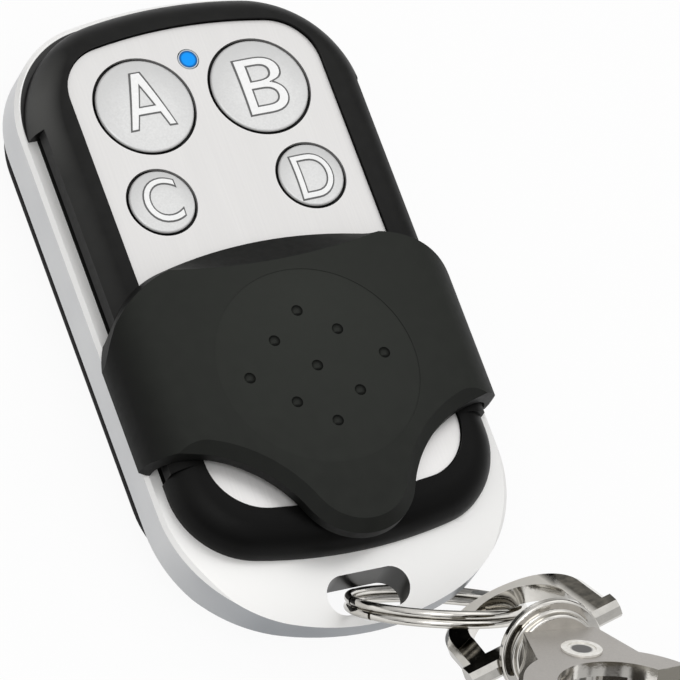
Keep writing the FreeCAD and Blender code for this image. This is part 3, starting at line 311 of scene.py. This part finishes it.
class Finish:
    """A material in the making: its main colour, metal and roughness, and what can vary them."""

    def __init__(self, name, colour, metal, rough):
        self.material = bpy.data.materials.new(name)
        self.material.use_nodes = True
        self.tree = self.material.node_tree
        self.shader = self.tree.nodes["Principled BSDF"]
        self.shader.inputs["Base Color"].default_value = (*colour, 1.0)
        self.shader.inputs["Metallic"].default_value = metal
        self.shader.inputs["Roughness"].default_value = rough
        self.place = self.tree.nodes.new("ShaderNodeTexCoord").outputs["Object"]

    def join(self, output, socket):
        """Link an output to a socket."""
        self.tree.links.new(output, socket)

    def node(self, kind, **values):
        """A new node with the given settings."""
        made = self.tree.nodes.new(kind)
        for key, value in values.items():
            setattr(made, key, value)
        return made

    def stretched(self, stretch, origin=(0.0, 0.0, 0.0), mirrored=False):
        """Object coordinates, moved to an origin in metres and stretched along each axis.

        Mirrored, they are made positive first, so the head's right corner stands for the left one too.
        """
        place = self.place
        if mirrored:
            sides = self.node("ShaderNodeVectorMath", operation="ABSOLUTE")
            self.join(place, sides.inputs[0])
            place = sides.outputs["Vector"]
        mapping = self.node("ShaderNodeMapping", vector_type="POINT")
        mapping.inputs["Location"].default_value = [-o * s for o, s in zip(origin, stretch)]
        mapping.inputs["Scale"].default_value = stretch
        self.join(place, mapping.inputs["Vector"])
        return mapping.outputs["Vector"]

    def noise(self, feature, detail=3.0, stretch=(1.0, 1.0, 1.0)):
        """Noise whose bumps are about as wide as feature, in metres."""
        noise = self.node("ShaderNodeTexNoise")
        noise.inputs["Scale"].default_value = 1.0 / feature
        noise.inputs["Detail"].default_value = detail
        self.join(self.stretched(stretch), noise.inputs["Vector"])
        return noise.outputs["Fac"]

    def spread(self, value, low, high, start=0.3, end=0.7):
        """The value between start and end mapped to low and high."""
        ranged = self.node("ShaderNodeMapRange")
        ranged.inputs["From Min"].default_value = start
        ranged.inputs["From Max"].default_value = end
        ranged.inputs["To Min"].default_value = low
        ranged.inputs["To Max"].default_value = high
        self.join(value, ranged.inputs["Value"])
        return ranged.outputs["Result"]

    def above(self, value, start, end):
        """Zero up to start, and one from end on."""
        return self.spread(value, 0.0, 1.0, start, end)

    def below(self, value, start, end):
        """One up to start, and zero from end on."""
        return self.spread(value, 1.0, 0.0, start, end)

    def mix(self, factor, first, second):
        """A colour between the first and the second, each a colour or an output."""
        mixed = self.node("ShaderNodeMix", data_type="RGBA")
        self.join(factor, mixed.inputs["Factor"])
        for index, colour in ((MIX_FIRST, first), (MIX_SECOND, second)):
            if isinstance(colour, bpy.types.NodeSocket):
                self.join(colour, mixed.inputs[index])
            else:
                mixed.inputs[index].default_value = (*colour, 1.0)
        return mixed.outputs[MIX_RESULT]

    def patchy(self, noise, first, second):
        """The first colour where the noise is low, and the second where it is high."""
        return self.mix(self.spread(noise, 0.0, 1.0), first, second)

    def times(self, first, second):
        """The product of two colours."""
        made = self.node("ShaderNodeMix", data_type="RGBA", blend_type="MULTIPLY")
        made.inputs["Factor"].default_value = 1.0
        self.join(first, made.inputs[MIX_FIRST])
        self.join(second, made.inputs[MIX_SECOND])
        return made.outputs[MIX_RESULT]

    def combined(self, operation, first, second):
        """Two values in one, such as the MINIMUM of two masks, which is one only where both are."""
        made = self.node("ShaderNodeMath", operation=operation)
        self.join(first, made.inputs[0])
        self.join(second, made.inputs[1])
        return made.outputs["Value"]

    def along(self, axis):
        """The place along the object's X, Y or Z, in metres."""
        parts = self.node("ShaderNodeSeparateXYZ")
        self.join(self.place, parts.inputs["Vector"])
        return parts.outputs[axis]

    def faces(self, direction):
        """One where the surface faces the direction, zero where it is square to it."""
        turned = self.node("ShaderNodeVectorMath", operation="DOT_PRODUCT")
        self.join(self.node("ShaderNodeTexCoord").outputs["Normal"], turned.inputs[0])
        turned.inputs[1].default_value = direction
        return turned.outputs["Value"]

    def length(self, vector):
        """How long a vector is."""
        made = self.node("ShaderNodeVectorMath", operation="LENGTH")
        self.join(vector, made.inputs[0])
        return made.outputs["Value"]

    def distance(self, centre, reach=(1.0, 1.0), mirrored=False):
        """Distance from a vertical line through the centre, in shares of the reach along x and y."""
        stretch = (1.0 / reach[0], 1.0 / reach[1], 0.0)
        return self.length(self.stretched(stretch, (*centre, 0.0), mirrored))

    def from_axis(self, centre, direction):
        """Distance in metres from the line through the centre along the direction."""
        across = self.node("ShaderNodeVectorMath", operation="CROSS_PRODUCT")
        self.join(self.stretched((1.0, 1.0, 1.0), centre), across.inputs[0])
        across.inputs[1].default_value = direction
        return self.length(across.outputs["Vector"])

    def bump(self, height, depth, strength=1.0):
        """Surface relief of the given depth in metres."""
        bump = self.node("ShaderNodeBump")
        bump.inputs["Strength"].default_value = strength
        bump.inputs["Distance"].default_value = depth
        self.join(height, bump.inputs["Height"])
        self.join(bump.outputs["Normal"], self.shader.inputs["Normal"])

    def colour(self, output):
        """Give the surface its colour."""
        self.join(output, self.shader.inputs["Base Color"])

    def rough(self, output):
        """Give the surface its roughness."""
        self.join(output, self.shader.inputs["Roughness"])

    def metal(self, output):
        """Say where the surface is metal."""
        self.join(output, self.shader.inputs["Metallic"])


def shade(colour, by):
    """The colour made darker or brighter by a factor."""
    return tuple(min(1.0, part * by) for part in colour)


def polished_chrome():
    """Chrome with painted reflections, greyer on its walls and across its face, dark along the chin's rim,
    with painted shade in the key slot, and black on the bezel's lip.
    """
    tone = colours().chrome
    finish = Finish("chrome", tone, 0.3, 0.3)
    clouds = finish.noise(CHROME_PATCH, 1.0)
    # Painted reflections: the walls greyer than the face, and darker where they face towards the chin
    foot_reflection = finish.above(finish.faces((0.0, -1.0, 0.0)), 0.15, 0.95)
    wall = finish.mix(foot_reflection, finish.patchy(clouds, *CHROME_SIDE_REFLECTION), finish.patchy(clouds, *CHROME_FOOT_REFLECTION))
    # Painted shade in and round the key slot
    slot_shade = finish.below(finish.distance(KEY_SLOT, KEY_SLOT_SHADE_REACH), 1.0, 1.05)
    wall = finish.mix(slot_shade, wall, KEY_SLOT_SHADE)
    # Painted reflection: the face greyer along x
    face = finish.mix(finish.above(finish.along("X"), *FACE_REFLECTION_FADE), tone, shade(tone, 0.88))
    corner = finish.below(finish.distance(LIP_CENTRE, mirrored=True), LIP_RADIUS - LIP_EDGE, LIP_RADIUS)
    head = finish.above(finish.along("Y"), LIP_FOOT, LIP_FOOT + LIP_EDGE)
    face = finish.mix(finish.combined("MINIMUM", corner, head), face, shade(colours().shell, 1.3))
    # Painted dark reflection along the chin's rim
    rim = finish.mix(finish.below(finish.along("Y"), *RIM_REFLECTION_FADE), wall, RIM_DARK_REFLECTION)
    up = finish.faces(UP)
    edge = finish.mix(finish.above(up, 0.15, 0.3), wall, rim)
    finish.colour(finish.mix(finish.above(up, 0.5, 0.65), edge, face))
    # The roughness stays above 0.28, because the denoiser draws a line where it crosses that
    finish.rough(finish.spread(clouds, 0.29, 0.37, 0.0, 1.0))
    return finish.material


def shaded_below(finish, bright):
    """The bright tone, with a painted brown reflection where the surface looks down."""
    return finish.mix(finish.above(finish.faces(UP), -0.6, 0.45), NICKEL_SHADE, bright)


def nickel_plate(name):
    """Bright nickel: the finish, and its colour's output, with a painted brown reflection where it looks
    down.
    """
    tone = colours().nickel
    finish = Finish(name, tone, 1.0, 0.1)
    plated = finish.patchy(finish.noise(1.0 * MM), shade(tone, 0.9), shade(tone, 1.06))
    finish.rough(finish.spread(finish.noise(0.8 * MM, 5.0), 0.05, 0.13))
    finish.bump(finish.noise(1.2 * MM), 0.008 * MM)
    return finish, shaded_below(finish, plated)


def plain_nickel():
    """Nickel with a painted darker reflection on the faces that look the hook's way."""
    finish, plated = nickel_plate("nickel")
    # Painted reflection on the faces that look the hook's way
    flat = finish.above(finish.faces(HOOK_FACE), *FLAT_FADE)
    finish.colour(finish.mix(flat, plated, NICKEL_FLAT_REFLECTION))
    return finish.material


def loop_nickel():
    """Nickel whose outer band has a painted highlight beside the ring and a painted dark reflection
    towards its ends.
    """
    finish, plated = nickel_plate("loop_nickel")
    band = finish.above(finish.faces(LOOP_BAND), *FLAT_FADE)
    across = finish.along("X")
    start, end = LOOP_HIGHLIGHT_SPAN
    # Painted highlight on the band beside the ring
    lit = finish.combined("MINIMUM", finish.above(across, start - LOOP_FADE, start),
                          finish.below(across, end, end + LOOP_FADE))
    # Painted dark reflection on the rest of the band
    dark = finish.patchy(finish.noise(0.7 * MM, 2.0, (1.0, 1.0, 0.4)), *LOOP_DARK_REFLECTION)
    finish.colour(finish.mix(band, plated, finish.mix(lit, dark, LOOP_HIGHLIGHT)))
    finish.metal(finish.spread(finish.combined("MINIMUM", band, lit), 1.0, 0.2, 0.0, 1.0))
    return finish.material


def rivet_nickel(centre):
    """Bright nickel with painted shade in the hollow of its middle and a painted highlight round it."""
    finish, plated = nickel_plate("rivet_nickel")
    # Painted shade in the hollow middle, and a painted highlight round it
    ring = finish.above(finish.from_axis(centre, HOOK_FACE), *RIVET_EYE)
    finish.colour(finish.mix(ring, RIVET_EYE_SHADE, finish.patchy(finish.noise(0.4 * MM), *RIVET_HIGHLIGHT)))
    finish.metal(finish.spread(ring, 0.0, 0.3, 0.0, 1.0))
    return finish.material


def ground_nickel():
    """The hook's nickel: ground matt on its flat faces, whose grey is partly a painted reflection, and
    bright elsewhere.
    """
    tone = colours().nickel
    finish = Finish("ground_nickel", tone, 1.0, 0.3)
    flat = finish.above(finish.faces(HOOK_FACE), *HOOK_FLAT_FADE)
    # A real matt grind whose grey tone is partly a painted reflection
    ground = finish.patchy(finish.noise(0.15 * MM, 4.0), *HOOK_GROUND_AND_REFLECTION)
    finish.colour(finish.mix(flat, shaded_below(finish, tone), ground))
    finish.rough(finish.spread(flat, 0.1, 0.42, 0.0, 1.0))
    finish.bump(finish.noise(0.3 * MM), 0.004 * MM)
    return finish.material


def moulded_black(name, tone, rough, gloss):
    """Black plastic with a fine moulded grain: the finish, and its colour's output."""
    finish = Finish(name, tone, 0.0, rough)
    finish.shader.inputs["Specular IOR Level"].default_value = gloss
    finish.rough(finish.spread(finish.noise(0.6 * MM), rough - 0.03, rough + 0.04))
    finish.bump(finish.noise(0.3 * MM), 0.01 * MM, 0.3)
    return finish, finish.patchy(finish.noise(1.2 * MM, 5.0), shade(tone, 0.9), shade(tone, 1.15))


def bezel_black():
    """The front shell: painted shade towards the chin and on its walls, and a painted highlight on its
    left shoulder.
    """
    tone = colours().shell
    finish, top = moulded_black("bezel_black", tone, 0.4, 0.1)
    # Painted shade on the walls
    lit = finish.mix(finish.above(finish.faces(UP), 0.3, 0.8), shade(tone, 0.2), top)
    # Painted highlight on the left shoulder, towards the head
    shoulder = finish.above(finish.faces(SHOULDER_HIGHLIGHT_FACE), 0.75, 1.0)
    head = finish.spread(finish.along("Y"), 0.25, 1.0, *SHOULDER_HIGHLIGHT_FADE)
    lit = finish.mix(finish.combined("MULTIPLY", shoulder, head), lit, shade(tone, 7.0))
    # Painted shade that fades the shell to black towards the chin
    finish.colour(finish.mix(finish.above(finish.along("Y"), *BEZEL_SHADE_FADE), shade(tone, 0.15), lit))
    return finish.material


def back_black():
    """The rear shell: matt and very dark all over."""
    finish, top = moulded_black("back_black", shade(colours().shell, 0.15), 0.6, 0.06)
    finish.colour(top)
    return finish.material


def cover_black():
    """The sliding cover: painted shade on its walls and front end, and a top with a painted pool of light
    and a paler grip disc.
    """
    tone = colours().cover
    finish, top = moulded_black("cover_black", tone, 0.55, 0.16)
    # Painted pool of light on the top
    light_pool = finish.below(finish.distance(COVER_LIGHT_POOL, (COVER_LIGHT_POOL_REACH, COVER_LIGHT_POOL_REACH)), 0.0, 1.0)
    top = finish.mix(light_pool, top, shade(tone, 1.6))
    disc = finish.below(finish.distance(COVER_DISC, (COVER_DISC_RADIUS, COVER_DISC_RADIUS)), 0.98, 1.0)
    top = finish.times(top, finish.mix(disc, WHITE, COVER_DISC_TINT))
    # Painted shade on the walls
    body = finish.mix(finish.above(finish.faces(UP), 0.45, 0.95), shade(tone, 0.2), top)
    # Painted shade on the front end
    front = finish.above(finish.faces(COVER_FRONT_SHADE), 0.72, 0.86)
    finish.colour(finish.mix(front, body, shade(tone, 0.35)))
    return finish.material


def brushed_plate():
    """Aluminium brushed along the plate, with painted light towards the chin that lightens the cover's
    shadow.
    """
    tone = colours().plate
    finish = Finish("brushed_plate", tone, 0.45, 0.4)
    streaks = finish.noise(0.2 * MM, 4.0, (1.0, 0.025, 1.0))
    broad = finish.noise(1.2 * MM, 3.0, (1.0, 0.06, 1.0))
    fine = finish.patchy(streaks, shade(tone, 0.97), shade(tone, 1.035))
    brushed = finish.mix(finish.spread(broad, 0.0, 0.5), fine, shade(tone, 0.965))
    # Painted light towards the chin, which lightens the cover's shadow
    chin = finish.below(finish.along("Y"), *PLATE_LIGHT_FADE)
    finish.colour(finish.times(brushed, finish.mix(chin, WHITE, PLATE_LIGHT_TINT)))
    finish.rough(finish.spread(streaks, 0.36, 0.44))
    finish.bump(streaks, 0.002 * MM, 0.3)
    return finish.material


def satin_key(name, centre, radius, shoulder):
    """Satin silver with painted shade towards its far edge, and black below the shoulder."""
    tone = colours().key
    finish = Finish("satin_key_" + name, tone, 0.45, 0.42)
    # Painted shade that darkens the cap away from a pale spot below its middle
    from_spot = finish.distance((centre.x, centre.y - radius * KEY_LIGHT_SPOT))
    far = finish.above(from_spot, *(radius * share for share in KEY_SHADE_FADE))
    speckle = finish.patchy(finish.noise(0.2 * MM, 4.0), shade(tone, 0.95), shade(tone, 1.05))
    cap = finish.mix(far, speckle, shade(tone, 0.84))
    side = finish.below(finish.along("Z"), shoulder - KEY_EDGE, shoulder)
    finish.colour(finish.mix(side, cap, KEY_BLACK))
    finish.rough(finish.spread(finish.noise(0.5 * MM), 0.38, 0.46))
    finish.bump(finish.noise(0.2 * MM), 0.004 * MM, 0.4)
    return finish.material


def letter_paint(name, tone):
    """Satin paint for the letters, and for the painted shade of the lines round them."""
    finish = Finish(name, tone, 0.1, 0.4)
    flecks = finish.noise(0.3 * MM)
    finish.colour(finish.patchy(flecks, shade(tone, 0.95), shade(tone, 1.04)))
    finish.rough(finish.spread(flecks, 0.35, 0.5))
    return finish.material


def blue_light(centre, radius):
    """Clear blue window, lit from behind and darker round its edge, with a pale line about it."""
    tone = colours().light
    finish = Finish("blue_light", tone, 0.0, 0.2)
    reach = finish.distance(centre)
    edge = finish.above(reach, *(radius * share for share in WINDOW_EDGE_FADE))
    line = finish.above(reach, *(radius * share for share in WINDOW_LINE_FADE))
    glow = finish.mix(line, finish.mix(edge, tone, WINDOW_EDGE), WINDOW_LINE)
    finish.colour(glow)
    finish.join(glow, finish.shader.inputs["Emission Color"])
    finish.shader.inputs["Emission Strength"].default_value = WINDOW_GLOW
    finish.shader.inputs["Specular IOR Level"].default_value = 0.1
    finish.rough(finish.spread(finish.noise(0.4 * MM), 0.15, 0.25))
    return finish.material


def solder_mask():
    """Green lacquer over raised tracks."""
    finish = Finish("board", BOARD_GREEN[1], 0.0, 0.35)
    tracks = finish.node("ShaderNodeTexBrick", offset=0.35)
    tracks.inputs["Scale"].default_value = 1.0 / TRACK_PITCH
    tracks.inputs["Mortar Size"].default_value = 0.05
    finish.join(finish.stretched((1.0, 1.0, 0.0)), tracks.inputs["Vector"])
    green = finish.patchy(finish.noise(2.0 * MM), *BOARD_GREEN)
    finish.colour(finish.mix(tracks.outputs["Fac"], green, BOARD_TRACK))
    finish.rough(finish.spread(tracks.outputs["Fac"], 0.3, 0.45, 0.0, 1.0))
    finish.bump(tracks.outputs["Fac"], 0.02 * MM, 0.6)
    return finish.material


def grained(part):
    """A small part's finish, whose colour and gloss vary over the size of its grain."""
    finish = Finish(part.name, part.tone, part.metal, part.rough)
    flecks = finish.noise(part.grain, 4.0)
    finish.colour(finish.patchy(flecks, shade(part.tone, 0.8), shade(part.tone, 1.2)))
    finish.rough(finish.spread(finish.noise(part.grain * 2), part.rough - 0.06, part.rough + 0.08))
    finish.bump(finish.noise(part.grain), part.grain * 0.05, 0.5)
    return finish.material


def cell_sleeve(low, high):
    """Dark sleeve round the cell, which lies between two places along y, with bare steel at both ends."""
    finish = Finish("cell_sleeve", SLEEVE[0], 0.0, 0.3)
    along = finish.along("Y")
    head = finish.above(along, high - CELL_HEAD - CELL_EDGE, high - CELL_HEAD)
    foot = finish.below(along, low + CELL_FOOT, low + CELL_FOOT + CELL_EDGE)
    ends = finish.combined("MAXIMUM", head, foot)
    finish.colour(finish.mix(ends, finish.patchy(finish.noise(1.0 * MM), *SLEEVE), CELL_STEEL))
    finish.metal(ends)
    return finish.material


def dress(names, material):
    """Give CAD nodes a material on every slot."""
    for name in names:
        piece = NODES[name]
        if not piece.material_slots:
            piece.data.materials.append(material)
        for slot in piece.material_slots:
            slot.material = material


def new_piece(name, mesh, material):
    """A piece of the scene, made of a mesh and one material."""
    piece = bpy.data.objects.new(name, mesh)
    bpy.context.scene.collection.objects.link(piece)
    piece.data.materials.append(material)
    return piece


def font_mesh(name, text, offset):
    """A block letter one unit thick, its outline moved out by the offset, in font units."""
    curve = bpy.data.curves.new(name, "FONT")
    curve.body = text
    curve.extrude = 0.5
    curve.offset = offset
    curve.resolution_u = 8
    outline = bpy.data.objects.new(name, curve)
    bpy.context.scene.collection.objects.link(outline)
    graph = bpy.context.evaluated_depsgraph_get()
    mesh = bpy.data.meshes.new_from_object(outline.evaluated_get(graph))
    bpy.data.objects.remove(outline)
    return mesh


def flat_box(mesh):
    """The low and high corners of a mesh in x and y."""
    spots = [vertex.co.xy for vertex in mesh.vertices]
    return (Vector([min(spot[i] for spot in spots) for i in (0, 1)]),
            Vector([max(spot[i] for spot in spots) for i in (0, 1)]))


def reshaped(letter, x, y):
    """A point of a letter, in parts of its width and height, with its head widened and its bar lowered."""
    above_waist = min(1.0, max(0.0, (y - WAIST) / WAIST_FADE))
    x = letter.hinge + (x - letter.hinge) * (1.0 + (letter.head - 1.0) * above_waist)
    if BAR_BAND[0] < y < BAR_BAND[1]:
        x += letter.bar * LEG_SLOPE * (1.0 if x > 0.5 else -1.0)
        y -= letter.bar
    return x, y


def cut_in_grid(form, middle, reach):
    """Cut a form across x and across y, up to the reach on each side of the middle."""
    count = int(reach / LETTER_GRID)
    for axis in (Vector((1, 0, 0)), Vector((0, 1, 0))):
        for i in range(-count, count + 1):
            spot = Vector((*middle, 0)) + axis * (i * LETTER_GRID)
            bmesh.ops.bisect_plane(form, geom=form.verts[:] + form.edges[:] + form.faces[:],
                                   plane_co=spot, plane_no=axis)


def letter_mesh(name, letter, key, centre, height, grow, rise):
    """A letter of the given height, its outline moved out a little, that stands above its key's crown."""
    low, high = flat_box(font_mesh(name, letter.text, 0.0))
    span = high - low
    mesh = font_mesh(name, letter.text, grow * span.y / height)
    middle = centre + Vector(letter.shift) * MM
    form = bmesh.new()
    form.from_mesh(mesh)
    for vertex in form.verts:
        x, y = reshaped(letter, (vertex.co.x - low.x) / span.x, (vertex.co.y - low.y) / span.y)
        vertex.co.x = middle.x + (x - 0.5) * letter.share * height
        vertex.co.y = middle.y + (y - 0.5) * height
    cut_in_grid(form, middle, height)
    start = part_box(key)[1].z + LETTER_DROP
    for vertex in form.verts:
        hit, spot = NODES[key].ray_cast((vertex.co.x, vertex.co.y, start), (0, 0, -1))[:2]
        if not hit:
            raise RuntimeError(f"{name} reaches past the edge of {key}")
        vertex.co.z = spot.z + (rise if vertex.co.z > 0 else -rise)
    form.to_mesh(mesh)
    form.free()
    return mesh


def infill_mesh(low, high, round_by):
    """A small block between two corners, with its upright edges rounded."""
    form = bmesh.new()
    bmesh.ops.create_cube(form, size=1.0)
    for vertex in form.verts:
        vertex.co = Vector([l + (v + 0.5) * (h - l) for v, l, h in zip(vertex.co, low, high)])
    half_height = (high[2] - low[2]) / 2
    upright = [edge for edge in form.edges if abs(edge.verts[0].co.z - edge.verts[1].co.z) > half_height]
    bmesh.ops.bevel(form, geom=upright, offset=round_by, segments=4, affect="EDGES", profile=0.5)
    mesh = bpy.data.meshes.new("frame_infill")
    form.to_mesh(mesh)
    form.free()
    return mesh


class REMOTE_OT_stage(bpy.types.Operator):
    """Make the floor, the lamps, the surroundings and the camera"""

    bl_idname = "remote.stage"
    bl_label = "Studio stage"

    def execute(self, context):
        context.scene.view_settings.view_transform = "Standard"
        make_floor(sizes().floor_width)
        make_world(context.scene)
        for lamp in LAMPS:
            make_lamp(*lamp)
        make_camera(context.scene)
        return {"FINISHED"}


def make_floor(width):
    """A square sheet of white paper just below the part."""
    half = width / 2
    corners = [(-half, -half, 0), (half, -half, 0), (half, half, 0), (-half, half, 0)]
    mesh = bpy.data.meshes.new("floor")
    mesh.from_pydata(corners, [], [(0, 1, 2, 3)])
    floor = new_piece("floor", mesh, floor_paper())
    floor.location.z = CAD_BOX[0].z - FLOOR_GAP


def seen_directly(tree):
    """One for rays from the camera, from gloss and through glass."""
    path = tree.nodes.new("ShaderNodeLightPath")
    total = path.outputs["Is Camera Ray"]
    for name in ("Is Glossy Ray", "Is Transmission Ray"):
        larger = tree.nodes.new("ShaderNodeMath")
        larger.operation = "MAXIMUM"
        tree.links.new(total, larger.inputs[0])
        tree.links.new(path.outputs[name], larger.inputs[1])
        total = larger.outputs["Value"]
    return total


def floor_paper():
    """White paper: where it is seen directly, most of it is plain white, so that only shadow shows."""
    finish = Finish("floor_paper", colours().floor, 0.0, 0.9)
    glow = finish.node("ShaderNodeEmission")
    glow.inputs["Strength"].default_value = 1.0
    share = finish.node("ShaderNodeMath", operation="MULTIPLY")
    share.inputs[1].default_value = FLOOR_WHITE
    finish.join(seen_directly(finish.tree), share.inputs[0])
    mixed = finish.node("ShaderNodeMixShader")
    finish.join(share.outputs["Value"], mixed.inputs["Fac"])
    finish.join(finish.shader.outputs["BSDF"], mixed.inputs[1])
    finish.join(glow.outputs["Emission"], mixed.inputs[2])
    finish.join(mixed.outputs["Shader"], finish.tree.nodes["Material Output"].inputs["Surface"])
    return finish.material


def make_world(scene):
    """A bright ceiling over darker, patchy walls for metal to mirror, and white behind the stage."""
    world = bpy.data.worlds.new("surroundings")
    scene.world = world
    world.use_nodes = True
    tree = world.node_tree
    direction = tree.nodes.new("ShaderNodeTexCoord").outputs["Generated"]
    patches = tree.nodes.new("ShaderNodeTexNoise")
    patches.inputs["Scale"].default_value = WALL_SCALE
    patches.inputs["Detail"].default_value = 1.0
    tree.links.new(direction, patches.inputs["Vector"])
    walls = ramp(tree, patches.outputs["Fac"], WALL_TONES)
    parts = tree.nodes.new("ShaderNodeSeparateXYZ")
    tree.links.new(direction, parts.inputs["Vector"])
    ceiling = ramp(tree, parts.outputs["Z"], CEILING_RISE)
    room = blend(tree, ceiling, walls, CEILING_TONE)
    path = tree.nodes.new("ShaderNodeLightPath")
    seen = blend(tree, path.outputs["Is Camera Ray"], room, WHITE)
    tree.links.new(seen, tree.nodes["Background"].inputs["Color"])


def ramp(tree, value, stops):
    """A colour ramp over the value with the given places and colours."""
    made = tree.nodes.new("ShaderNodeValToRGB")
    for element, (place, colour) in zip(made.color_ramp.elements, stops):
        element.position = place
        element.color = (*colour, 1.0)
    tree.links.new(value, made.inputs["Fac"])
    return made.outputs["Color"]


def blend(tree, factor, first, colour):
    """From the first output to a plain colour."""
    mixed = tree.nodes.new("ShaderNodeMix")
    mixed.data_type = "RGBA"
    tree.links.new(factor, mixed.inputs["Factor"])
    tree.links.new(first, mixed.inputs[MIX_FIRST])
    mixed.inputs[MIX_SECOND].default_value = (*colour, 1.0)
    return mixed.outputs[MIX_RESULT]


def make_lamp(name, place, width, power):
    """A square softbox that faces the remote."""
    data = bpy.data.lights.new(name, "AREA")
    data.size = width
    data.energy = power
    lamp = bpy.data.objects.new(name, data)
    lamp.location = place
    lamp.rotation_euler = (-Vector(place)).to_track_quat("-Z", "Y").to_euler()
    bpy.context.scene.collection.objects.link(lamp)


def make_camera(scene):
    """The camera, at the photograph's viewing angle."""
    data = bpy.data.cameras.new("camera")
    data.sensor_width = SENSOR_WIDTH
    data.lens = CAMERA_LENS
    camera = bpy.data.objects.new("camera", data)
    right, down, forward = Vector(CAMERA_RIGHT), Vector(CAMERA_DOWN), Vector(CAMERA_FORWARD)
    turn = Matrix((right, -down, -forward)).transposed().to_4x4()
    camera.matrix_world = Matrix.Translation(CAMERA_PLACE) @ turn
    scene.collection.objects.link(camera)
    scene.camera = camera


class REMOTE_OT_frame(bpy.types.Operator):
    """Finish the polished frame and fill the gap at the corner of its cell room"""

    bl_idname = "remote.frame"
    bl_label = "Chrome frame"

    def execute(self, context):
        chrome = polished_chrome()
        dress(["chrome_frame"], chrome)
        piece = new_piece("frame_infill", infill_mesh(*INFILL, INFILL_ROUND), chrome)
        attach(piece, "case")
        return {"FINISHED"}


class REMOTE_OT_shells(bpy.types.Operator):
    """Finish the black shells and the sliding cover"""

    bl_idname = "remote.shells"
    bl_label = "Black shells and cover"

    def execute(self, context):
        dress(["front_bezel"], bezel_black())
        dress(["rear_cover"], back_black())
        dress(["slide_cover"], cover_black())
        return {"FINISHED"}


class REMOTE_OT_plate(bpy.types.Operator):
    """Finish the brushed face plate"""

    bl_idname = "remote.plate"
    bl_label = "Face plate"

    def execute(self, context):
        dress(["face_plate"], brushed_plate())
        return {"FINISHED"}


class REMOTE_OT_keys(bpy.types.Operator):
    """Finish the four keys and put a raised letter on each"""

    bl_idname = "remote.keys"
    bl_label = "Keys and letters"

    def execute(self, context):
        rise = sizes().letter_rise
        inside = -sizes().letter_thinning
        outside = inside + sizes().letter_shade_line
        # The second layer is a grey line of painted shade round each letter
        layers = (("letter_", letter_paint("letter_white", colours().letter), inside, rise),
                  ("letter_shade_edge_", letter_paint("letter_shade_line", colours().border), outside, rise / 2))
        for name in KEY_NAMES:
            key = "button_" + name
            low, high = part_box(key)
            centre = (low + high) / 2
            radius = (high.x - low.x) / 2 - KEY_FLANGE
            dress([key], satin_key(name, centre.xy, radius, high.z - KEY_SHOULDER))
            height = sizes().large_letter if name in LARGE_KEYS else sizes().small_letter
            for part, paint, grow, lift in layers:
                mesh = letter_mesh(part + name, LETTERS[name], key, centre.xy, height, grow, lift)
                piece = new_piece(part + name, mesh, paint)
                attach(piece, "key_" + name)
        return {"FINISHED"}


class REMOTE_OT_light(bpy.types.Operator):
    """Finish the light's blue window"""

    bl_idname = "remote.light"
    bl_label = "Light window"

    def execute(self, context):
        low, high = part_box("led_window")
        centre = (low + high) / 2
        radius = (high.x - low.x) / 2 - WINDOW_RIM
        dress(["led_window"], blue_light(centre.xy, radius))
        return {"FINISHED"}


class REMOTE_OT_clasp(bpy.types.Operator):
    """Finish the split ring and the snap hook"""

    bl_idname = "remote.clasp"
    bl_label = "Ring and snap hook"

    def execute(self, context):
        low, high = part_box("hook_rivet")
        dress(NICKEL_PARTS, plain_nickel())
        dress(["clasp_loop"], loop_nickel())
        dress(["hook_rivet"], rivet_nickel((low + high) / 2))
        dress(["hook_body"], ground_nickel())
        return {"FINISHED"}


class REMOTE_OT_inside(bpy.types.Operator):
    """Finish the circuit, the cell, the contacts and the screws"""

    bl_idname = "remote.inside"
    bl_label = "Circuit and cell"

    def execute(self, context):
        low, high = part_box("battery_can")
        dress(["battery_can"], cell_sleeve(low.y, high.y))
        dress(["circuit_board"], solder_mask())
        for part in SMALL_PARTS:
            dress(part.nodes, grained(part))
        return {"FINISHED"}


STEPS = (REMOTE_OT_stage, REMOTE_OT_frame, REMOTE_OT_shells, REMOTE_OT_plate, REMOTE_OT_keys,
         REMOTE_OT_light, REMOTE_OT_clasp, REMOTE_OT_inside)


class REMOTE_PT_panel(bpy.types.Panel):
    """Steps and settings of the remote"""

    bl_idname = "REMOTE_PT_panel"
    bl_label = "Garage door remote"
    bl_space_type = "VIEW_3D"
    bl_region_type = "UI"
    bl_category = "Remote"

    def draw(self, context):
        for group in (sizes(), colours()):
            column = self.layout.column()
            for key in group.__annotations__:
                column.prop(group, key)
        column = self.layout.column()
        for step in STEPS:
            column.operator(step.bl_idname)


CLASSES = (RemoteSizes, RemoteColours, *STEPS, REMOTE_PT_panel)


def register():
    for kind in CLASSES:
        bpy.utils.register_class(kind)
    bpy.types.Scene.remote_sizes = bpy.props.PointerProperty(type=RemoteSizes)
    bpy.types.Scene.remote_colours = bpy.props.PointerProperty(type=RemoteColours)


def unregister():
    del bpy.types.Scene.remote_colours
    del bpy.types.Scene.remote_sizes
    for kind in reversed(CLASSES):
        bpy.utils.unregister_class(kind)


def main():
    register()
    bpy.ops.remote.stage()
    bpy.ops.remote.frame()
    bpy.ops.remote.shells()
    bpy.ops.remote.plate()
    bpy.ops.remote.keys()
    bpy.ops.remote.light()
    bpy.ops.remote.clasp()
    bpy.ops.remote.inside()


if __name__ == "__main__":
    main()
